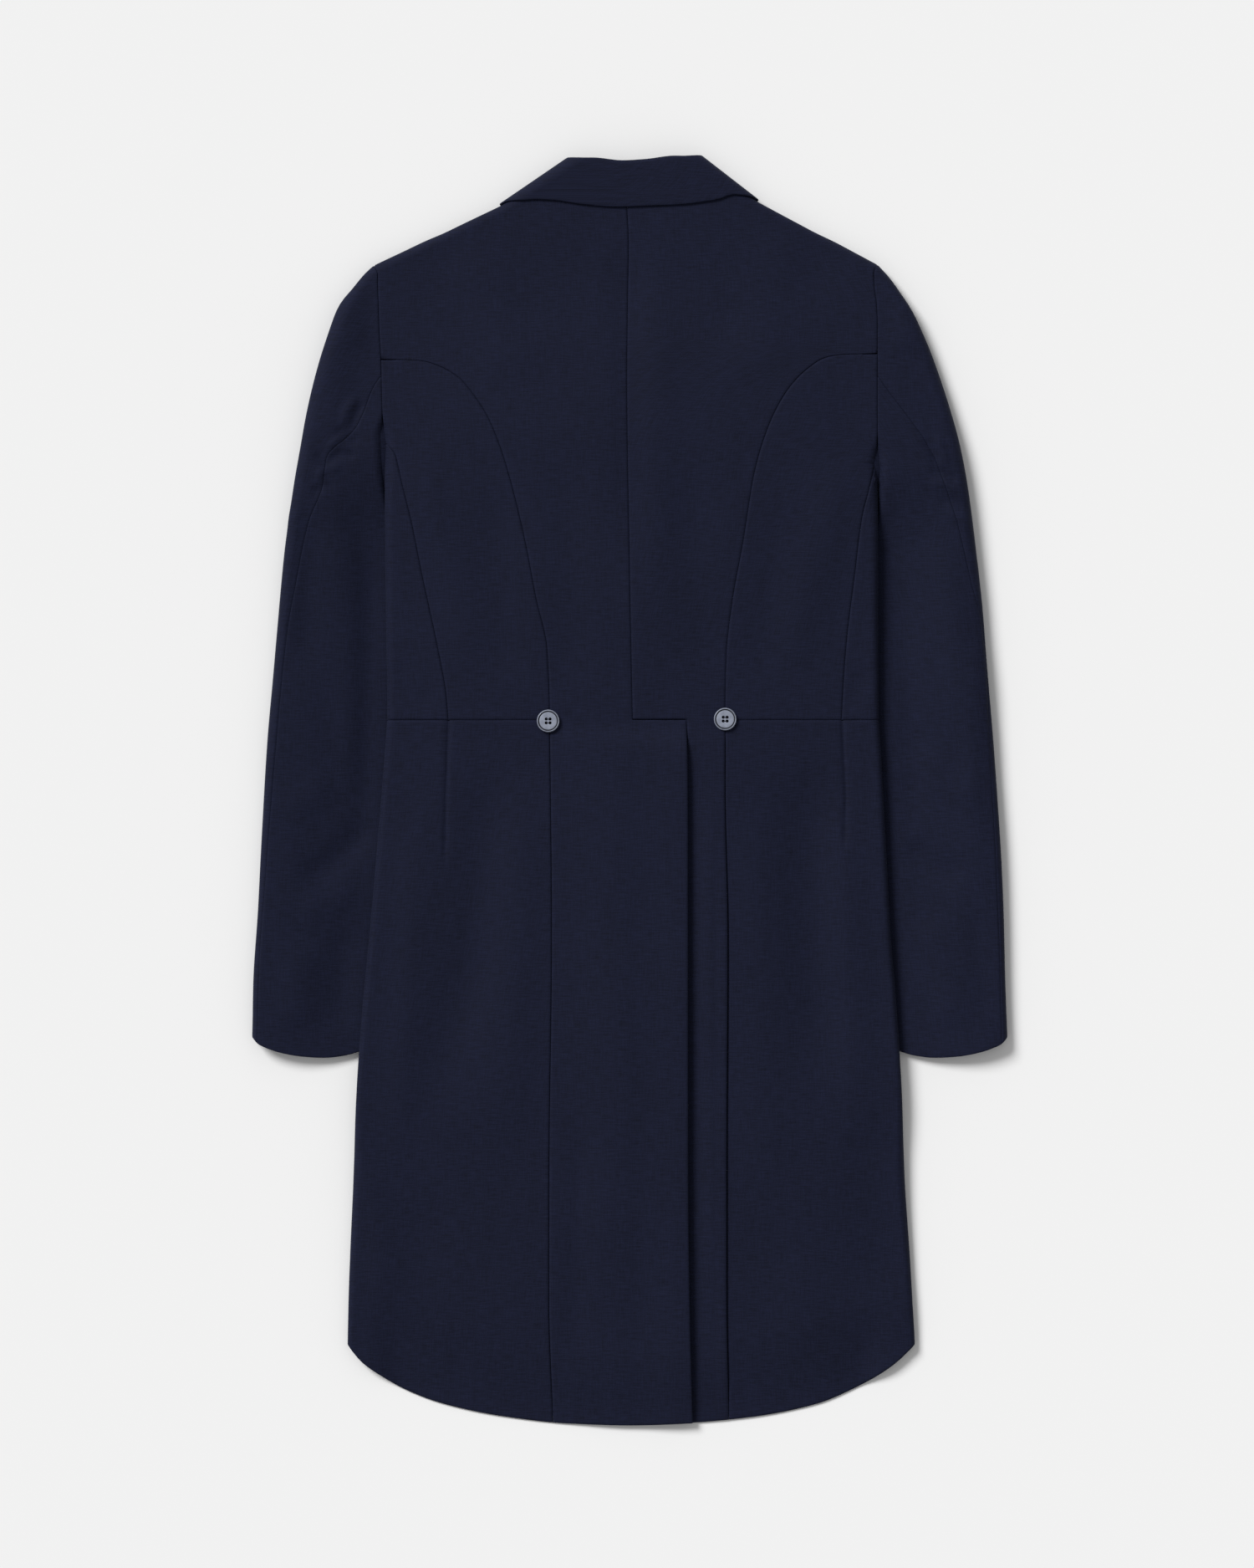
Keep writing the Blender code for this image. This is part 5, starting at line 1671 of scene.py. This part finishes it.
def plain_weave_group():
    """Fine plain weave: crossing threads, slubs both ways and a soft cloudiness."""
    group, given, result = group_with(
        "plain_weave",
        (("Place", "NodeSocketVector", None), ("Shade", "NodeSocketColor", (0, 0, 0, 1)),
         ("Light thread", "NodeSocketColor", (0, 0, 0, 1)),
         ("Threads a metre", "NodeSocketFloat", 900.0), ("Slub", "NodeSocketFloat", 0.5)),
        (("Colour", "NodeSocketColor"), ("Roughness", "NodeSocketFloat"),
         ("Height", "NodeSocketFloat")))
    place = given.outputs["Place"]

    def add(a, b):
        return math_node(group, "ADD", a, b)

    def times(a, b):
        return math_node(group, "MULTIPLY", a, b)

    def around(value, middle, size):
        return times(math_node(group, "SUBTRACT", value, middle), size)

    noises = {name: stretched_noise(group, place, *counts) for name, counts in WEAVE_NOISES.items()}
    split = add_node(group, "ShaderNodeSeparateXYZ")
    group.links.new(place, split.inputs[0])
    turns = times(given.outputs["Threads a metre"], math.tau)
    warp = math_node(group, "SINE", times(split.outputs["X"], turns))
    weft = math_node(group, "SINE", times(split.outputs["Y"], turns))
    weave = times(warp, weft)
    slub = add(times(noises["across"], 1.25), times(noises["down"], 0.75))
    slub = around(slub, 1.0, given.outputs["Slub"])
    grain = around(noises["fuzz"], 0.5, 0.9)
    fine = add(slub, grain)
    cloud = add(around(noises["cloud"], 0.5, 0.35), around(noises["streaks"], 0.5, 0.25))
    share = add(add(add(fine, cloud), times(weave, 0.08)), 0.5)
    colour = colour_mix(group, share, given.outputs["Shade"], given.outputs["Light thread"])
    group.links.new(colour, result.inputs["Colour"])
    group.links.new(add(times(share, 0.12), 0.74), result.inputs["Roughness"])
    group.links.new(add(times(weave, 0.35), fine), result.inputs["Height"])
    return group


def navy_wool():
    """Dark navy wool in a fine plain weave, with a low sheen."""
    material, tree, shader = new_material("navy_wool")
    threads = add_node(tree, "ShaderNodeUVMap", uv_map="weave")
    weave = add_node(tree, "ShaderNodeGroup", node_tree=plain_weave_group())
    fill_all(tree, weave, {"Place": threads.outputs["UV"], "Shade": (*WOOL_SHADE, 1),
                           "Light thread": (*WOOL_LIGHT, 1), "Threads a metre": THREADS,
                           "Slub": SLUB})
    fill_all(tree, shader, {"Base Color": weave.outputs["Colour"],
                            "Roughness": weave.outputs["Roughness"], "Metallic": 0.0,
                            "Specular IOR Level": 0.12, "Sheen Weight": 0.05,
                            "Sheen Roughness": 0.45, "Sheen Tint": (0.55, 0.6, 0.85, 1)})
    add_bump(tree, shader, weave.outputs["Height"], 0.35, 0.0002)
    return material


def mottled_material(name, shade, light, roughness, scale):
    """A plain finish with soft clouds of colour in it."""
    material, tree, shader = new_material(name)
    place = add_node(tree, "ShaderNodeTexCoord").outputs["Object"]
    noise = stretched_noise(tree, place, scale, scale, CLOUD_DETAIL, CLOUD_ROUGHNESS)
    rough = math_node(tree, "ADD", math_node(tree, "MULTIPLY", noise, 0.12), roughness)
    fill_all(tree, shader, {"Base Color": colour_mix(tree, noise, (*shade, 1), (*light, 1)),
                            "Roughness": rough})
    add_bump(tree, shader, noise, 0.3, 0.00005)
    return material


# Buttons

BUTTON_PLACES = {
    "button_back_left": (-68.1, 58.2, False),
    "button_back_right": (79.6, 59.7, False),
    "button_front": (0.0, FRONT_BUTTON_Y, True),
}

# Share of the radius and of the thickness, from the middle of the back to that of the face
BUTTON_PROFILE = (
    (0.0, 0.0), (0.6, 0.0), (0.85, 0.05), (0.96, 0.22), (1.0, 0.45), (1.0, 0.62), (0.985, 0.8),
    (0.955, 0.95), (0.93, 1.0), (0.91, 0.95), (0.89, 0.78), (0.865, 0.62), (0.83, 0.56),
    (0.8, 0.58), (0.785, 0.66), (0.77, 0.76), (0.74, 0.8), (0.66, 0.8), (0.5, 0.77),
    (0.3, 0.74), (0.12, 0.73), (0.0, 0.73))

# Rings of the profile that get the painted shade of the groove, centres and radius of the holes,
# and the shape of a hole
BUTTON_GROOVE = (10, 14)
BUTTON_HOLES = ((-1.6, -1.6), (1.6, -1.6), (1.6, 1.6), (-1.6, 1.6))
HOLE_RADIUS = 1.2
HOLE_PROFILE = ((0.0, -0.2), (1.0, -0.2), (1.0, 0.66), (1.12, 0.8), (1.2, 1.1), (0.0, 1.1))
BUTTON_FACE = 0.74
BUTTON_SIDES = 72
HOLE_SIDES = 24
EDGE_DEGREES = 40
THREAD_RADIUS = 0.28
THREAD_SUNK = 0.7
THREAD_RISE = 0.95


def turned_mesh(name, profile, radius, parts, painted_shade_rings=(0, 0), centre=(0.0, 0.0)):
    """A round shape from its profile, with a single point where the profile meets the axis.

    The profile gives shares of the radius and of the button's thickness. The rings of faces
    between the two numbers in painted_shade_rings get the second material, a painted shade.
    """
    points = []
    rings = []
    for reach, height in profile:
        count = parts if reach else 1
        rings.append(range(len(points), len(points) + count))
        for i in range(count):
            turn = math.tau * i / parts
            points.append(((centre[0] + reach * radius * math.cos(turn)) * MM,
                           (centre[1] + reach * radius * math.sin(turn)) * MM,
                           height * BUTTON_THICK * MM))
    faces = []
    finishes = []
    for number, (low, high) in enumerate(zip(rings, rings[1:])):
        finishes += [int(painted_shade_rings[0] <= number < painted_shade_rings[1])] * parts
        for i in range(parts):
            k = (i + 1) % parts
            if len(low) == 1:
                faces.append((low[0], high[k], high[i]))
            elif len(high) == 1:
                faces.append((low[i], low[k], high[0]))
            else:
                faces.append((low[i], low[k], high[k], high[i]))
    mesh = bpy.data.meshes.new(name)
    mesh.from_pydata(points, [], faces)
    mesh.polygons.foreach_set("use_smooth", [True] * len(mesh.polygons))
    mesh.polygons.foreach_set("material_index", finishes)
    return mesh


def drilled(name, blank, dark):
    """The button with its four holes cut through it, their walls given the painted shade."""
    button = linked(name, blank)
    cutters = []
    for i, centre in enumerate(BUTTON_HOLES):
        shape = turned_mesh(f"drill_{i}", HOLE_PROFILE, HOLE_RADIUS, HOLE_SIDES, centre=centre)
        # The cutter's painted shade passes to the walls of the hole it cuts
        shape.materials.append(dark)
        drill = linked(f"drill_{i}", shape)
        cut = button.modifiers.new(f"hole_{i}", "BOOLEAN")
        cut.operation = "DIFFERENCE"
        cut.solver = "EXACT"
        cut.material_mode = "TRANSFER"
        cut.object = drill
        cutters.append(drill)
    cut_button = button.evaluated_get(bpy.context.evaluated_depsgraph_get())
    mesh = bpy.data.meshes.new_from_object(cut_button)
    for thing in cutters + [button]:
        bpy.data.objects.remove(thing)
    mesh.set_sharp_from_angle(angle=math.radians(EDGE_DEGREES))
    return mesh


def thread_curve(name, start, end):
    """A sewing thread over the face from one hole to another, as a round curve."""
    face = BUTTON_FACE * BUTTON_THICK - THREAD_SUNK
    points = [(*mix_points(start, end, share), face + THREAD_RISE * math.sin(math.pi * share))
              for share in spread(0.12, 0.88, 12)]
    curve = bpy.data.curves.new(name, "CURVE")
    curve.dimensions = "3D"
    curve.bevel_depth = THREAD_RADIUS * MM
    curve.bevel_resolution = 3
    spline = curve.splines.new("POLY")
    spline.points.add(len(points) - 1)
    for node, (x, y, z) in zip(spline.points, points):
        node.co = (x * MM, y * MM, z * MM, 1)
    return curve


def add_part(name, data, place, face_down):
    """A part of a button, put where the button lies."""
    part = linked(name, data)
    part.location = [size * MM for size in place]
    if face_down:
        part.rotation_euler = (math.pi, 0, 0)
    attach(part, "root")
    return part


def build_buttons(horn, groove_painted_shade, thread):
    """The three buttons, each with a disc and two sewing threads."""
    blank = turned_mesh("button_blank", BUTTON_PROFILE, BUTTON_REACH * BUTTON_WIDTH / 2,
                        BUTTON_SIDES, BUTTON_GROOVE)
    blank.materials.append(horn)
    blank.materials.append(groove_painted_shade)
    for name, (x, y, face_down) in BUTTON_PLACES.items():
        low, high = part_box(name)
        place = (x, y, (high[2] if face_down else low[2]) / MM)
        disc = add_part(name + "_disc", drilled(name, blank.copy(), groove_painted_shade), place, face_down)
        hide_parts(name)
        for i, (start, end) in enumerate((BUTTON_HOLES[:2], BUTTON_HOLES[2:])):
            curve = thread_curve(f"{name}_thread_{i}", start, end)
            curve.materials.append(thread)
            add_part(curve.name, curve, place, face_down)


# Light, floor and camera

FLOOR_SIZE = 14.0
SENSOR = 36.0
VIEW_END = 50.0


def window_light():
    """Even daylight from the upper left, soft enough to blur the shadows."""
    data = bpy.data.lights.new("upper_left", "SUN")
    data.energy = SUN_STRENGTH
    data.angle = math.radians(SUN_SPREAD)
    light = linked("upper_left", data)
    light.rotation_euler = Vector(SUN_WAY).to_track_quat("-Z", "Y").to_euler()


def pale_floor():
    """The plain surface that the coat lies on."""
    corners = [(x * FLOOR_SIZE, y * FLOOR_SIZE, FLOOR_Z)
               for x, y in ((-1, -1), (1, -1), (1, 1), (-1, 1))]
    mesh = bpy.data.meshes.new("floor")
    mesh.from_pydata(corners, [], [(0, 1, 2, 3)])
    material, tree, shader = new_material("pale_floor")
    fill_all(tree, shader, {"Base Color": (*FLOOR_COLOUR, 1), "Roughness": 0.95,
                            "Specular IOR Level": 0.0})
    mesh.materials.append(material)
    linked("floor", mesh)


def overhead_camera():
    """The view from straight above."""
    data = bpy.data.cameras.new("overhead")
    data.sensor_fit = "VERTICAL"
    data.sensor_height = SENSOR
    data.lens = SENSOR * CAMERA_HEIGHT / VIEW_HEIGHT
    data.clip_end = VIEW_END
    camera = linked("overhead", data)
    camera.location = (*VIEW_CENTRE, CAMERA_HEIGHT)
    bpy.context.scene.camera = camera


def build_studio():
    """Room light, window light, floor and camera."""
    scene = bpy.context.scene
    scene.view_settings.view_transform = "Standard"
    world = bpy.data.worlds.new("pale_room")
    world.use_nodes = True
    sky = world.node_tree.nodes["Background"]
    fill_all(world.node_tree, sky, {"Color": (1, 1, 1, 1), "Strength": ROOM_LIGHT})
    scene.world = world
    window_light()
    pale_floor()
    overhead_camera()


def declare_cloth(pieces):
    """Reads the cut size and the resting places of every piece of cloth, and does nothing with
    them.
    """
    for name, piece in pieces.items():
        width, length, area = CUT[name]
        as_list(RESTS_ON[name])


def build_tapes():
    """The strips inside the coat: turnings of the seams and tapes at the armholes."""
    tapes = [seam_turning(*line) for line in seam_lines()]
    for side in (LEFT, RIGHT):
        pit = PIT[side]
        for place, first, last, levels, half_width in (
                ("armhole", pit + 3, 436.0, (0.5, 0.5), 4.0),
                ("underarm", pit - 60, pit + 5, (0.06, 0.06), 3.0),
                ("armpit", pit - PIT_FILL[side], pit + PIT_RISE, PIT_FILL_LEVELS, 6.5)):
            tapes.append(armhole_tape(place, side, first, last, levels, half_width))
    return tapes


pieces = build_cloth()
tapes = build_tapes()
wool = navy_wool()
for piece in list(pieces.values()) + tapes:
    piece.data.materials.append(wool)
horn = mottled_material("slate_horn", HORN_SHADE, HORN_LIGHT, 0.22, 170.0)
# Painted shade for the groove of each button and the walls of its holes
groove_painted_shade = mottled_material("groove_painted_shade", GROOVE_PAINTED_SHADE_DEEP, GROOVE_PAINTED_SHADE_PALE, 0.65, 900.0)
thread = mottled_material("navy_thread", THREAD_SHADE, THREAD_LIGHT, 0.7, 2500.0)
build_buttons(horn, groove_painted_shade, thread)
build_studio()
declare_cloth(pieces)
